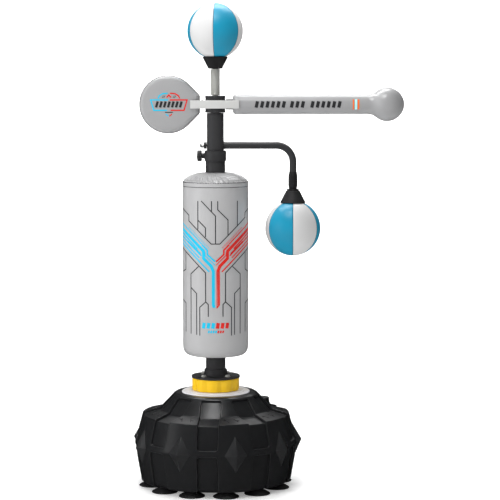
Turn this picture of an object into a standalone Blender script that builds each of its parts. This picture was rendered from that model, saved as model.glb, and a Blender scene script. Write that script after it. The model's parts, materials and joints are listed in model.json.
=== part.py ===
"""Free-standing boxing trainer: weighted tank, flexible foot, padded bag, spinning bar and paddle,
and two reflex balls.

Metres, +Z up, front towards -Y. The origin is the centre of the tank's flat underside, on the
mast's axis, and heights are counted from that underside, so the floor is at -CUP_HEIGHT.
Headings around the mast are in degrees, from the front (-Y) towards the right (+X).
Every object's location is a place in the part's own frame, also when it hangs from a pivot.
"""

import math

import bmesh
import bpy
from mathutils import Matrix, Vector

# Fits and facets
GAP = 0.0003            # between pieces that touch or are joined
SLIP = 0.0004           # radial play of pieces that turn or slide in one another
MAST_SLIP = 0.0007      # the same for the mast, corner to flat
FINE, ROUND, SMALL = 27, 16, 12     # sides of large, middle and small turned pieces
SOFT = 20                           # sides of the padded bag
SKIN = 0.0015           # thickness of the sewn covers

# Weighted tank
SECTORS = 9
SECTOR = 360 / SECTORS
GROOVE_HEADING = -6.0
LOBE_HEADING = GROOVE_HEADING + SECTOR / 2
TANK_RADIUS = 0.290
TANK_WIDEST = 0.135
TANK_WALL = 0.005
TANK_TOP = 0.314
SHELF_EDGE = (0.262, 0.238)
TANK_FOOT = (0.262, 0.0)
CONE_FOOT = (0.200, 0.254)
CONE_TOP = (0.150, 0.308)
GROOVE_WIDTH = 0.074
GROOVE_DEPTH = 0.008
GROOVE_CLEARANCE = 0.060            # how far the cutters reach outside the tank
FOOT_GROOVE = (0.168, 0.172, 0.002) # inner and outer radius and depth, around the underside's centre
BAND = (0.131, 0.150)               # plain belt between the lower and the upper grooves
DIAMOND_WIDTH = 0.083
DIAMOND_HEIGHT = 0.128
DIAMOND_TIP = 0.310
BALLAST_TOP = (0.270, 0.110)
BALLAST_FOOT = 0.254
ANCHOR_RADIUS = 0.070
ANCHOR_THICKNESS = 0.005

# Filler on one lobe's shelf, behind on the right
FILLER_HEADING = LOBE_HEADING + 3 * SECTOR
FILLER_RING = 0.232
FILLER_RADIUS = 0.029
FILLER_BORE = 0.020
NECK_TOP = 0.255
SEAL_THICKNESS = 0.0015
CAP_HEIGHT = 0.007

# Suction cups
CUPS = 12
CUP_HEADING = 8.8
CUP_RING = 0.2305
CUP_RADIUS = 0.046
CUP_RIM = 0.004
CUP_HEIGHT = 0.020
STUD_RADIUS = 0.0066
STUD_HEIGHT = 0.0075
POCKET_DEPTH = 0.008
POCKET_SEAT = 0.016                 # half width of the raised ring that holds the cups

# Flexible foot
DISC_RADIUS = 0.1215
DISC_SEAT = 0.306
DISC_TOP = 0.320
DAMPER_RADIUS = 0.085
DAMPER_LOBES = 10
DAMPER_VALLEY = 13.0
DAMPER_VALLEY_DEPTH = 0.004
DAMPER_BORE = 0.030
FLANGE_RADIUS = 0.0865
FLANGE_BOTTOM = 0.3648
FLANGE_TOP = 0.3716
SOCKET_TOP = 0.395
SOCKET_RADIUS = 0.0405
SOCKET_FOOT = 0.045
FLANGE_BORE = 0.025
BOLT_RING = 0.060
BOLT_RADIUS = 0.005
BOLT_HEAD = (0.0092, 0.0064)
PLATE_RADIUS = 0.078
PLATE_THICKNESS = 0.004
STUD_END = DISC_SEAT - 0.015
ANCHOR_STUD = 0.012
SWAY_HEIGHT = (DISC_TOP + FLANGE_BOTTOM) / 2

# Tubes
POST_RADIUS = 0.035
MAST_RADIUS = 0.030
TUBE_WALL = 0.0025
COLLAR_RADIUS = 0.0385
COLLAR_BOTTOM = 1.138
COLLAR_TOP = 1.173
MAST_BOTTOM = 0.800
MAST_TOP = 1.3075
GLIDE_HEIGHT = 0.040
BUSH_HEIGHT = 0.080

# Clamp knob, on the left of the collar
KNOB_HEIGHT = 1.156
KNOB_BOSS_END = 0.047
KNOB_BOSS_RADIUS = 0.0095
KNOB_RADIUS = 0.0195
KNOB_LENGTH = 0.018
SCREW_RADIUS = 0.0058
PAD_RADIUS = 0.0052
PAD_THICKNESS = 0.0025

# Padded bag
BAG_RADIUS = 0.1175
BAG_BOTTOM = 0.444
BAG_TOP = 1.099
BAG_DOME = 0.034
BAG_CROWN = ((0.065, 0.08), (0.092, 0.35), (0.109, 0.68), (BAG_RADIUS, 1.0))   # radius, share of the dome
BAG_FOOT = 0.037

# Spinner: hub, straps, bar and paddle
SPIN_HEIGHT = 1.3375
HUB_RADIUS = 0.036
HUB_BOTTOM = 1.3085
HUB_TOP = 1.368
SHAFT_RADIUS = 0.0125
BEARING_RADIUS = 0.026
BEARING_WIDTH = 0.015
STRAP_LEFT, STRAP_RIGHT = -0.0885, 0.0835
STRAP_HEIGHT = 0.029
STRAP_THICKNESS = 0.003
CORE_RADIUS = 0.0188
CORE_START = HUB_RADIUS + 0.0005
STRAP_BOLT_RADIUS = 0.004
STRAP_BOLT_HEAD = (0.0075, 0.0053)
WELD_NUT = (0.0062, 0.009)
STRAP_BOLTS = ((-0.046, -0.008), (-0.046, 0.008), (0.049, -0.008), (0.049, 0.008))
BAR_START = 0.062
BAR_RADIUS = 0.0353
BAR_EDGE = 0.010
BAR_KNOB_RADIUS = 0.0605
BAR_KNOB_CENTRE = 0.608
BAR_FLARE = 0.031
BAR_CORE_END = 0.580
PADDLE_CENTRE = -0.166
PADDLE_RADIUS = 0.100
PADDLE_EDGE = -0.056
PADDLE_NECK = 0.062
PADDLE_THICKNESS = 0.068
PADDLE_ROUNDING = 0.014
BOARD_RADIUS = 0.070
BOARD_THICKNESS = 0.016
STEM_START = -0.140
STEM_RADIUS = 0.0138                # hidden behind the straps

# Reflex balls
BALL_RADIUS = 0.100
BALL_WALL = 0.004
BALL_HOLE = 0.012
CUP_MOUTH = 0.045
CUP_NECK = 0.0255
CUP_DEPTH = 0.042
CUP_BOTTOM = -BALL_RADIUS + 0.010 - CUP_DEPTH   # from the ball's centre
TOP_BALL = 1.595
SPRING_RADIUS = 0.0155
WIRE_RADIUS = 0.0022
SPRING_BOTTOM = HUB_TOP + 0.0008
SPRING_TOP = 1.463
SPRING_TURNS = 13
SPRING_POINTS = 8
SEAT_RADIUS = 0.0100
SEAT_LENGTH = 0.026

# Side arm with the lower ball
ARM_HEIGHT = 1.1926
ARM_RADIUS = 0.0125
ARM_WALL = 0.002
ARM_REACH = 0.275
ARM_BEND = 0.058
ARM_END = 1.067
ARM_STUD = 0.005
ARM_PLUG_END = 0.0235               # the plugged end stops short of the mast's far wall
SPACER = (0.0303, 0.0407)
ACORN_END = 0.0557
SLEEVE_RADIUS = 0.01625
SLEEVE_TOP = 1.087
SLEEVE_BOTTOM = 1.0385
NECK_RING = (0.0215, 0.007)
LOWER_BALL = 0.899
LOWER_SEAT_TOP = 1.053

# Colour, roughness and metallic value of each finish
FINISHES = {
    "tank": ((0.030, 0.031, 0.033), 0.42, 0.0),
    "black_rubber": ((0.020, 0.020, 0.021), 0.75, 0.0),
    "sand": ((0.55, 0.44, 0.30), 0.95, 0.0),
    "disc": ((0.60, 0.60, 0.62), 0.40, 0.0),
    "damper": ((0.90, 0.55, 0.01), 0.45, 0.0),
    "black_steel": ((0.035, 0.035, 0.037), 0.35, 0.3),
    "bright_steel": ((0.62, 0.62, 0.60), 0.28, 1.0),
    "strap": ((0.80, 0.80, 0.79), 0.35, 0.3),
    "black_plastic": ((0.025, 0.025, 0.026), 0.50, 0.0),
    "foam": ((0.12, 0.12, 0.13), 0.95, 0.0),
    "grey_leather": ((0.42, 0.42, 0.43), 0.45, 0.0),
    "ball_leather": ((0.02, 0.33, 0.52), 0.35, 0.0),
}


# ---------------------------------------------------------------- scene, finishes and pivots

def start_scene():
    """Empty the scene and return the collections for the pieces and for their cutters."""
    for old in list(bpy.data.objects):
        bpy.data.objects.remove(old, do_unlink=True)
    pieces = bpy.data.collections.new("free_standing_boxing_trainer")
    cutters = bpy.data.collections.new("cutters")
    bpy.context.scene.collection.children.link(pieces)
    bpy.context.scene.collection.children.link(cutters)
    return pieces, cutters


PIECES, CUTTERS = start_scene()


def make_finish(name):
    colour, roughness, metallic = FINISHES[name]
    finish = bpy.data.materials.new(name)
    finish.use_nodes = True
    shader = finish.node_tree.nodes["Principled BSDF"]
    shader.inputs["Base Color"].default_value = (*colour, 1.0)
    shader.inputs["Roughness"].default_value = roughness
    shader.inputs["Metallic"].default_value = metallic
    return finish


MATERIALS = {name: make_finish(name) for name in FINISHES}


def hang(child, parent):
    """Parent a child that stays where its location says."""
    child.parent = parent
    child.matrix_parent_inverse = Matrix.Translation(-parent.location)


def add_pivot(name, place, parent=None):
    """Add an empty on a joint's axis, for the pieces that move with the joint."""
    pivot = bpy.data.objects.new(name, None)
    pivot.empty_display_size = 0.03
    pivot.location = place
    if parent:
        hang(pivot, parent)
    PIECES.objects.link(pivot)
    return pivot


def add_piece(name, mesh, finish, pivot=None, place=(0, 0, 0), turn=(0, 0, 0)):
    """Put a mesh in the scene as one piece of the trainer."""
    piece = bpy.data.objects.new(name, mesh)
    piece.location = place
    piece.rotation_euler = turn
    mesh.materials.clear()
    mesh.materials.append(MATERIALS[finish])
    if pivot:
        hang(piece, pivot)
    PIECES.objects.link(piece)
    return piece


def add_cutter(name, mesh):
    """Put a mesh in the scene only as the second half of a Boolean."""
    cutter = bpy.data.objects.new(name, mesh)
    cutter.hide_render = True
    cutter.display_type = "WIRE"
    CUTTERS.objects.link(cutter)
    return cutter


def combine(piece, operation, name, mesh):
    """Cut a mesh from a piece (DIFFERENCE) or join it on (UNION)."""
    cutter = add_cutter(name, mesh)
    boolean = piece.modifiers.new(name, "BOOLEAN")
    boolean.operation = operation
    boolean.object = cutter
    return cutter


# ---------------------------------------------------------------- shapes

def heading_point(radius, heading, height=0.0):
    """Point at a radius and heading around the mast's axis."""
    angle = math.radians(heading)
    return Vector((radius * math.sin(angle), -radius * math.cos(angle), height))


def arc(centre, radius, first, last, count):
    """Points (x, y) on an arc, with angles in degrees from +x."""
    points = []
    for step in range(count + 1):
        angle = math.radians(first + (last - first) * step / count)
        points.append((centre[0] + radius * math.cos(angle), centre[1] + radius * math.sin(angle)))
    return points


def inset(profile, distance):
    """Move a turned profile, which runs down its outer side, inwards by a distance."""
    normals = []
    for (r1, z1), (r2, z2) in zip(profile, profile[1:]):
        length = math.hypot(r2 - r1, z2 - z1)
        normals.append(((z2 - z1) / length, (r1 - r2) / length))
    moved = []
    for index, (radius, height) in enumerate(profile):
        before = normals[max(index - 1, 0)]
        after = normals[min(index, len(normals) - 1)]
        share = distance / (1 + before[0] * after[0] + before[1] * after[1])
        moved.append((radius + share * (before[0] + after[0]), height + share * (before[1] + after[1])))
    return moved


def radius_at(profile, height):
    """Radius of a profile's outer side at a height."""
    for (r1, z1), (r2, z2) in zip(profile, profile[1:]):
        if z2 <= height < z1:
            return r1 + (r2 - r1) * (height - z1) / (z2 - z1)
    return profile[-1][0]


def turned_mesh(profile, sides, closed=False):
    """Turn (radius, height) points about Z; a closed profile makes a ring."""
    mesh = bpy.data.meshes.new("profile")
    edges = [(i, i + 1) for i in range(len(profile) - 1)]
    if closed:
        edges.append((len(profile) - 1, 0))
    mesh.from_pydata([(radius, 0, height) for radius, height in profile], edges, [])
    blank = bpy.data.objects.new("blank", mesh)
    PIECES.objects.link(blank)
    screw = blank.modifiers.new("turn", "SCREW")
    screw.steps = screw.render_steps = sides
    screw.use_merge_vertices = True
    screw.merge_threshold = 0.00005
    return evaluated_mesh(blank)


def evaluated_mesh(blank):
    """Return the finished mesh of a helper object, in its own frame, and remove the helper."""
    bpy.context.view_layer.update()
    depsgraph = bpy.context.evaluated_depsgraph_get()
    mesh = bpy.data.meshes.new_from_object(blank.evaluated_get(depsgraph))
    bpy.data.objects.remove(blank, do_unlink=True)
    weld(mesh)
    return mesh


def weld(mesh):
    """Join a mesh's loose caps to its sides."""
    work = bmesh.new()
    work.from_mesh(mesh)
    bmesh.ops.remove_doubles(work, verts=work.verts, dist=0.00002)
    work.to_mesh(mesh)
    work.free()


def ring_mesh(inner, outer, bottom, top, sides=ROUND):
    """Plain ring or tube between two radii and two heights."""
    profile = [(inner, top), (outer, top), (outer, bottom), (inner, bottom)]
    return turned_mesh(profile, sides, closed=True)


def rod_mesh(start, end, radius, sides=SMALL):
    """Closed cylinder from one point to another."""
    start, end = Vector(start), Vector(end)
    along = end - start
    mesh = bpy.data.meshes.new("rod")
    work = bmesh.new()
    turn = Vector((0, 0, 1)).rotation_difference(along).to_matrix().to_4x4()
    bmesh.ops.create_cone(
        work, cap_ends=True, segments=sides, radius1=radius, radius2=radius, depth=along.length,
        matrix=Matrix.Translation((start + end) / 2) @ turn,
    )
    work.to_mesh(mesh)
    work.free()
    return mesh


def block_mesh(low, high):
    """Box between two corners."""
    low, high = Vector(low), Vector(high)
    mesh = bpy.data.meshes.new("block")
    work = bmesh.new()
    bmesh.ops.create_cube(
        work, size=1.0,
        matrix=Matrix.Translation((low + high) / 2) @ Matrix.Diagonal((*(high - low), 1.0)),
    )
    work.to_mesh(mesh)
    work.free()
    return mesh


def hull_mesh(points):
    """Convex solid around some points."""
    mesh = bpy.data.meshes.new("hull")
    work = bmesh.new()
    corners = [work.verts.new(point) for point in points]
    bmesh.ops.convex_hull(work, input=corners)
    work.to_mesh(mesh)
    work.free()
    return mesh


def slab_mesh(outlines, thickness, rounding=0.0):
    """Flat shape in the XY plane, centred on it, from closed outlines; inner ones are holes."""
    curve = bpy.data.curves.new("outline", "CURVE")
    curve.dimensions = "2D"
    curve.fill_mode = "BOTH"
    curve.extrude = thickness / 2 - rounding
    curve.bevel_depth = rounding
    curve.bevel_resolution = 1
    curve.offset = -rounding
    for outline in outlines:
        spline = curve.splines.new("POLY")
        spline.use_cyclic_u = True
        spline.points.add(len(outline) - 1)
        for point, (x, y) in zip(spline.points, outline):
            point.co = (x, y, 0, 1)
    blank = bpy.data.objects.new("blank", curve)
    PIECES.objects.link(blank)
    return evaluated_mesh(blank)


def wire_mesh(points, radius, fineness):
    """Round bar along a list of points, with closed ends."""
    curve = bpy.data.curves.new("wire", "CURVE")
    curve.dimensions = "3D"
    curve.bevel_depth = radius
    curve.bevel_resolution = fineness
    curve.use_fill_caps = True
    spline = curve.splines.new("POLY")
    spline.points.add(len(points) - 1)
    for point, place in zip(spline.points, points):
        point.co = (*place, 1)
    blank = bpy.data.objects.new("blank", curve)
    PIECES.objects.link(blank)
    return evaluated_mesh(blank)


def joined_mesh(meshes):
    """Put several separate solids in one mesh."""
    work = bmesh.new()
    for mesh in meshes:
        work.from_mesh(mesh)
    joined = bpy.data.meshes.new("joined")
    work.to_mesh(joined)
    work.free()
    return joined


def moved_mesh(mesh, matrix):
    copy = mesh.copy()
    copy.transform(matrix)
    return copy


def standing(mesh):
    """Stand a slab up: its X stays, its Y becomes height and its thickness runs along Y."""
    return moved_mesh(mesh, Matrix.Rotation(math.radians(90), 4, "X"))


def around(mesh, headings):
    """Copies of a mesh that points along +X, turned to face each heading."""
    turns = [Matrix.Rotation(math.radians(heading - 90), 4, "Z") for heading in headings]
    return joined_mesh([moved_mesh(mesh, turn) for turn in turns])


def hex_bolt_mesh(head_radius, head_height, shank_radius, shank_length):
    """Bolt with its head's underside at the origin and its shank down -Z."""
    head = bpy.data.objects.new("blank", rod_mesh((0, 0, 0), (0, 0, head_height), head_radius, 6))
    PIECES.objects.link(head)
    shank = rod_mesh((0, 0, head_height / 2), (0, 0, -shank_length), shank_radius, 8)
    cutter = combine(head, "UNION", "shank", shank)
    mesh = evaluated_mesh(head)
    bpy.data.objects.remove(cutter, do_unlink=True)
    return mesh


# ---------------------------------------------------------------- tank and what is on it

TANK_CROWN = [
    (0.0, DISC_SEAT), (DISC_RADIUS + 0.001, DISC_SEAT), (DISC_RADIUS + 0.001, TANK_TOP),
    (0.142, TANK_TOP - 0.001),
]
TANK_SIDE = [
    CONE_TOP, CONE_FOOT, SHELF_EDGE, (TANK_RADIUS, TANK_WIDEST), (0.285, 0.090), (0.270, 0.004),
    TANK_FOOT,
]
TANK_PROFILE = TANK_CROWN + TANK_SIDE + [(0.0, 0.0)]


def groove_meshes(depth, grow):
    """Blocks that cut one sector's lower and upper groove, and grow by a margin on each side."""
    floor = inset(TANK_PROFILE, depth)
    cone_top, cone_foot, shelf_edge, widest, low_side, _, foot = floor[len(TANK_CROWN):-1]
    width = GROOVE_WIDTH + 2 * grow
    outside = widest[0] + GROOVE_CLEARANCE
    above = cone_top[1] + GROOVE_CLEARANCE
    low_top = BAND[0] + grow
    high_bottom = BAND[1] - grow
    lower = [
        (radius_at(floor, low_top), low_top), (outside, low_top), (outside, -GROOVE_CLEARANCE),
        (foot[0], -GROOVE_CLEARANCE), low_side,
    ]
    upper = [
        (radius_at(floor, high_bottom), high_bottom), (outside, high_bottom), (outside, above),
        (cone_foot[0], above), cone_top, cone_foot, shelf_edge,
    ]
    return [standing(slab_mesh([outline], width)) for outline in (lower, upper)]


def sector_headings(first):
    return [first + SECTOR * index for index in range(SECTORS)]


def diamond_mesh():
    """Four-sided pyramid that stands out of a lobe, pointing along +X."""
    half_width, half_height = DIAMOND_WIDTH / 2, DIAMOND_HEIGHT / 2
    side = math.sqrt(TANK_RADIUS ** 2 - half_width ** 2)
    top, bottom = TANK_WIDEST + half_height, TANK_WIDEST - half_height
    return hull_mesh([
        (DIAMOND_TIP, 0, TANK_WIDEST),
        (radius_at(TANK_PROFILE, top), 0, top),
        (radius_at(TANK_PROFILE, bottom), 0, bottom),
        (side, half_width, TANK_WIDEST), (side, -half_width, TANK_WIDEST),
        (TANK_RADIUS - 0.040, 0, TANK_WIDEST),
    ])


def cavity_profile():
    """Inside of the tank, with a raised ring in the floor that holds the suction cups."""
    raised = POCKET_DEPTH + TANK_WALL
    profile = inset(TANK_PROFILE, TANK_WALL)
    floor = profile[-1][1]
    ring = [(CUP_RING + POCKET_SEAT, floor), (CUP_RING + POCKET_SEAT, raised),
            (CUP_RING - POCKET_SEAT, raised), (CUP_RING - POCKET_SEAT, floor)]
    return profile[:-1] + ring + profile[-1:]


def cup_headings():
    return [CUP_HEADING + 360 / CUPS * index for index in range(CUPS)]


def add_tank():
    tank = add_piece("base_tank", turned_mesh(TANK_PROFILE, FINE), "tank")
    grooves = groove_meshes(GROOVE_DEPTH, 0.0)
    combine(tank, "DIFFERENCE", "lower_grooves", around(grooves[0], sector_headings(GROOVE_HEADING)))
    combine(tank, "DIFFERENCE", "upper_grooves", around(grooves[1], sector_headings(GROOVE_HEADING)))
    combine(tank, "UNION", "diamonds", around(diamond_mesh(), sector_headings(LOBE_HEADING)))

    neck_foot = heading_point(FILLER_RING, FILLER_HEADING, SHELF_EDGE[1] - 0.004)
    neck_end = heading_point(FILLER_RING, FILLER_HEADING, NECK_TOP)
    combine(tank, "UNION", "filler_neck", rod_mesh(neck_foot, neck_end, FILLER_RADIUS + 0.001, ROUND))

    cavity = combine(tank, "DIFFERENCE", "cavity", turned_mesh(cavity_profile(), FINE))
    ribs = groove_meshes(GROOVE_DEPTH + TANK_WALL, TANK_WALL)
    for name, rib in zip(("lower_ribs", "upper_ribs"), ribs):
        combine(cavity, "DIFFERENCE", name, around(rib, sector_headings(GROOVE_HEADING)))

    down, up = Vector((0, 0, -0.040)), Vector((0, 0, 0.010))
    filler_hole = rod_mesh(neck_foot + down, neck_end + up, FILLER_BORE, ROUND)
    stud_hole = rod_mesh((0, 0, STUD_END), (0, 0, DISC_TOP), ANCHOR_STUD + SLIP, ROUND)
    combine(tank, "DIFFERENCE", "openings", joined_mesh([filler_hole, stud_hole]))

    inner, outer, depth = FOOT_GROOVE
    combine(tank, "DIFFERENCE", "foot_groove", ring_mesh(inner, outer, -0.010, depth, FINE))

    pocket_radius = STUD_RADIUS + 2 * SLIP
    pocket = rod_mesh((CUP_RING, 0, -0.010), (CUP_RING, 0, POCKET_DEPTH), pocket_radius, 8)
    combine(tank, "DIFFERENCE", "cup_pockets", around(pocket, cup_headings()))

    ledge = (CUP_RING - POCKET_SEAT - 0.004, POCKET_DEPTH + TANK_WALL + 2 * GAP)
    ballast = [
        (0.0, BALLAST_TOP[1]), BALLAST_TOP, (BALLAST_FOOT, ledge[1]), ledge,
        (ledge[0], TANK_WALL + GAP), (0.0, TANK_WALL + GAP),
    ]
    add_piece("sand_ballast", turned_mesh(ballast, ROUND), "sand")
    anchor_top = DISC_SEAT - TANK_WALL - GAP
    anchor = ring_mesh(ANCHOR_STUD + GAP, ANCHOR_RADIUS, anchor_top - ANCHOR_THICKNESS, anchor_top)
    add_piece("anchor_plate", anchor, "black_steel")


def add_filler():
    """Screw cap and its seal. Both rise together while the cap alone turns."""
    place = heading_point(FILLER_RING, FILLER_HEADING, NECK_TOP)
    rise = add_pivot("filler_rise", place)
    seal = ring_mesh(FILLER_BORE, FILLER_RADIUS - 0.001, GAP, GAP + SEAL_THICKNESS)
    add_piece("cap_seal", seal, "black_rubber", rise, place)
    turn = add_pivot("filler_turn", place, rise)
    under = 2 * GAP + SEAL_THICKNESS
    plug = FILLER_BORE - SLIP
    profile = [
        (0.0, under + CAP_HEIGHT), (FILLER_RADIUS - 0.002, under + CAP_HEIGHT),
        (FILLER_RADIUS, under + CAP_HEIGHT - 0.002), (FILLER_RADIUS, under),
        (plug, under), (plug, -0.011), (0.0, -0.011),
    ]
    add_piece("filler_cap", turned_mesh(profile, ROUND), "black_plastic", turn, place)


def add_suction_cups():
    profile = [
        (0.0, STUD_HEIGHT), (STUD_RADIUS, STUD_HEIGHT), (STUD_RADIUS, -GAP), (0.020, -GAP),
        (CUP_RADIUS, CUP_RIM - CUP_HEIGHT), (CUP_RADIUS, -CUP_HEIGHT),
        (CUP_RADIUS - CUP_RIM, -CUP_HEIGHT), (0.0, -CUP_HEIGHT / 2),
    ]
    mesh = turned_mesh(profile, 10)
    for number, heading in enumerate(cup_headings(), start=1):
        place = heading_point(CUP_RING, heading)
        add_piece(f"suction_cup_{number:02d}", mesh, "black_rubber", place=place)


# ---------------------------------------------------------------- flexible foot

def damper_outline():
    """Round outline with shallow valleys between its lobes, pointing along +X at heading 0."""
    points = []
    count = DAMPER_LOBES * 4
    for index in range(count):
        heading = 360 * index / count
        valley = 0.5 + 0.5 * math.cos(math.radians(DAMPER_LOBES * (heading - DAMPER_VALLEY)))
        point = heading_point(DAMPER_RADIUS - DAMPER_VALLEY_DEPTH * valley ** 2, heading)
        points.append((point.x, point.y))
    return points


def bolt_points(height):
    return [heading_point(BOLT_RING, 45 + 90 * index, height) for index in range(4)]


def add_foot(sway):
    disc = [
        (ANCHOR_STUD + SLIP, DISC_TOP), (0.100, DISC_TOP), (0.102, DISC_TOP - 0.0025),
        (DISC_RADIUS - 0.0025, DISC_TOP - 0.003), (DISC_RADIUS, DISC_TOP - 0.0055),
        (DISC_RADIUS, DISC_SEAT + GAP), (ANCHOR_STUD + SLIP, DISC_SEAT + GAP),
    ]
    add_piece("top_disc", turned_mesh(disc, FINE, closed=True), "disc")

    plate_bottom = DISC_TOP + GAP
    plate_top = plate_bottom + PLATE_THICKNESS
    plate = [
        (0.0, plate_top), (PLATE_RADIUS, plate_top), (PLATE_RADIUS, plate_bottom),
        (ANCHOR_STUD, plate_bottom), (ANCHOR_STUD, STUD_END), (0.0, STUD_END),
    ]
    add_piece("damper_plate", turned_mesh(plate, ROUND), "black_steel")

    height = FLANGE_BOTTOM - GAP - plate_bottom
    middle = (FLANGE_BOTTOM - GAP + plate_bottom) / 2
    bore = arc((0, 0), DAMPER_BORE, 0, 342, 19)
    ring = moved_mesh(slab_mesh([damper_outline(), bore], height), Matrix.Translation((0, 0, middle)))
    damper = add_piece("damper_ring", ring, "damper", sway)
    recess_top = plate_top + GAP
    recess = rod_mesh((0, 0, DISC_TOP - 0.010), (0, 0, recess_top), PLATE_RADIUS + SLIP, ROUND)
    combine(damper, "DIFFERENCE", "plate_recess", recess)
    sockets = [
        rod_mesh(point, point + Vector((0, 0, 0.030)), BOLT_RADIUS + SLIP)
        for point in bolt_points(SWAY_HEIGHT + 0.0045)
    ]
    combine(damper, "DIFFERENCE", "bolt_sockets", joined_mesh(sockets))


def add_post_flange(sway):
    bore = POST_RADIUS + GAP
    profile = [
        (bore, SOCKET_TOP), (SOCKET_RADIUS - 0.002, SOCKET_TOP), (SOCKET_RADIUS, SOCKET_TOP - 0.003),
        (SOCKET_FOOT - 0.002, FLANGE_TOP + 0.002), (SOCKET_FOOT, FLANGE_TOP),
        (FLANGE_RADIUS, FLANGE_TOP), (FLANGE_RADIUS, FLANGE_BOTTOM), (FLANGE_BORE, FLANGE_BOTTOM),
        (FLANGE_BORE, FLANGE_TOP - 0.001), (bore, FLANGE_TOP - 0.001),
    ]
    flange = add_piece("post_flange", turned_mesh(profile, FINE, closed=True), "black_steel", sway)
    holes = [
        rod_mesh(point, point + Vector((0, 0, 0.020)), BOLT_RADIUS + SLIP)
        for point in bolt_points(FLANGE_BOTTOM - 0.005)
    ]
    combine(flange, "DIFFERENCE", "flange_holes", joined_mesh(holes))
    shank = FLANGE_TOP - SWAY_HEIGHT - 0.006
    mesh = hex_bolt_mesh(*BOLT_HEAD, BOLT_RADIUS, shank)
    for number, place in enumerate(bolt_points(FLANGE_TOP + GAP), start=1):
        add_piece(f"flange_bolt_{number}", mesh, "bright_steel", sway, place)


# ---------------------------------------------------------------- post, bag and clamp

def screw_hole_mesh():
    """Cutter for the clamp screw, through the walls on the left of the collar."""
    start = (-MAST_RADIUS + 0.004, 0, KNOB_HEIGHT)
    return rod_mesh(start, (-KNOB_BOSS_END - 0.010, 0, KNOB_HEIGHT), SCREW_RADIUS + SLIP)


def add_post(sway):
    tube_inner = POST_RADIUS - TUBE_WALL
    tube = ring_mesh(tube_inner, POST_RADIUS, FLANGE_TOP - 0.0005, COLLAR_TOP - 0.001)
    post = add_piece("lower_tube", tube, "black_steel", sway)
    combine(post, "DIFFERENCE", "post_screw_hole", screw_hole_mesh())

    bore = POST_RADIUS + GAP
    collar_profile = [
        (bore, COLLAR_TOP), (COLLAR_RADIUS - 0.001, COLLAR_TOP), (COLLAR_RADIUS, COLLAR_TOP - 0.001),
        (COLLAR_RADIUS, COLLAR_BOTTOM + 0.001), (COLLAR_RADIUS - 0.001, COLLAR_BOTTOM),
        (bore, COLLAR_BOTTOM),
    ]
    collar_mesh = turned_mesh(collar_profile, ROUND, closed=True)
    collar = add_piece("height_collar", collar_mesh, "black_steel", sway)
    boss_start = (-POST_RADIUS - 0.0015, 0, KNOB_HEIGHT)
    boss = rod_mesh(boss_start, (-KNOB_BOSS_END, 0, KNOB_HEIGHT), KNOB_BOSS_RADIUS)
    combine(collar, "UNION", "knob_boss", boss)
    combine(collar, "DIFFERENCE", "collar_screw_hole", screw_hole_mesh())

    lip = COLLAR_TOP + GAP
    bush_inner = MAST_RADIUS + MAST_SLIP
    bush_profile = [
        (bush_inner, lip + 0.0015), (POST_RADIUS + 0.002, lip + 0.0015), (POST_RADIUS + 0.002, lip),
        (tube_inner - GAP, lip), (tube_inner - GAP, lip - BUSH_HEIGHT), (bush_inner, lip - BUSH_HEIGHT),
    ]
    bush_mesh = turned_mesh(bush_profile, ROUND, closed=True)
    bush = add_piece("collar_bush", bush_mesh, "black_plastic", sway)
    combine(bush, "DIFFERENCE", "bush_screw_hole", screw_hole_mesh())


def bag_profile(margin):
    """Outer side of the bag, moved inwards by a margin: domed top, straight side, rounded foot."""
    profile = [(POST_RADIUS + 0.0008, BAG_TOP)]
    profile += [(radius, BAG_TOP - share * BAG_DOME) for radius, share in BAG_CROWN]
    foot = arc((BAG_RADIUS - BAG_FOOT, BAG_BOTTOM + BAG_FOOT), BAG_FOOT, 0, -90, 3)
    profile += foot + [(POST_RADIUS + 0.0008, BAG_BOTTOM)]
    moved = inset(profile, margin)
    moved[0] = (profile[0][0], moved[0][1])
    moved[-1] = (profile[-1][0], moved[-1][1])
    return moved


def add_bag(sway):
    cover = bag_profile(0.0) + bag_profile(SKIN)[::-1]
    add_piece("bag_cover", turned_mesh(cover, SOFT, closed=True), "grey_leather", sway)
    foam = bag_profile(SKIN + GAP)
    add_piece("bag_foam", turned_mesh(foam, SOFT, closed=True), "foam", sway)


def add_knob(sway):
    """Clamp screw on the left: the knob turns, and its pad moves out with it."""
    tip = MAST_RADIUS + GAP
    slide = add_pivot("clamp_slide", (-tip, 0, KNOB_HEIGHT), sway)
    pad = rod_mesh((0, 0, 0), (-PAD_THICKNESS, 0, 0), PAD_RADIUS)
    add_piece("clamp_pad", pad, "black_plastic", slide, slide.location)
    turn = add_pivot("knob_turn", (-tip, 0, KNOB_HEIGHT), slide)
    head_start = KNOB_BOSS_END + 0.0005 - tip
    head_end = head_start + KNOB_LENGTH
    profile = [
        (0.0, head_end), (KNOB_RADIUS - 0.003, head_end), (KNOB_RADIUS, head_end - 0.003),
        (KNOB_RADIUS, head_start + 0.002), (KNOB_RADIUS - 0.002, head_start),
        (SCREW_RADIUS, head_start), (SCREW_RADIUS, PAD_THICKNESS + GAP), (0.0, PAD_THICKNESS + GAP),
    ]
    outwards = (0, math.radians(-90), 0)
    add_piece("lock_knob", turned_mesh(profile, ROUND), "black_plastic", turn, turn.location, outwards)


# ---------------------------------------------------------------- sliding mast and side arm

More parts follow.
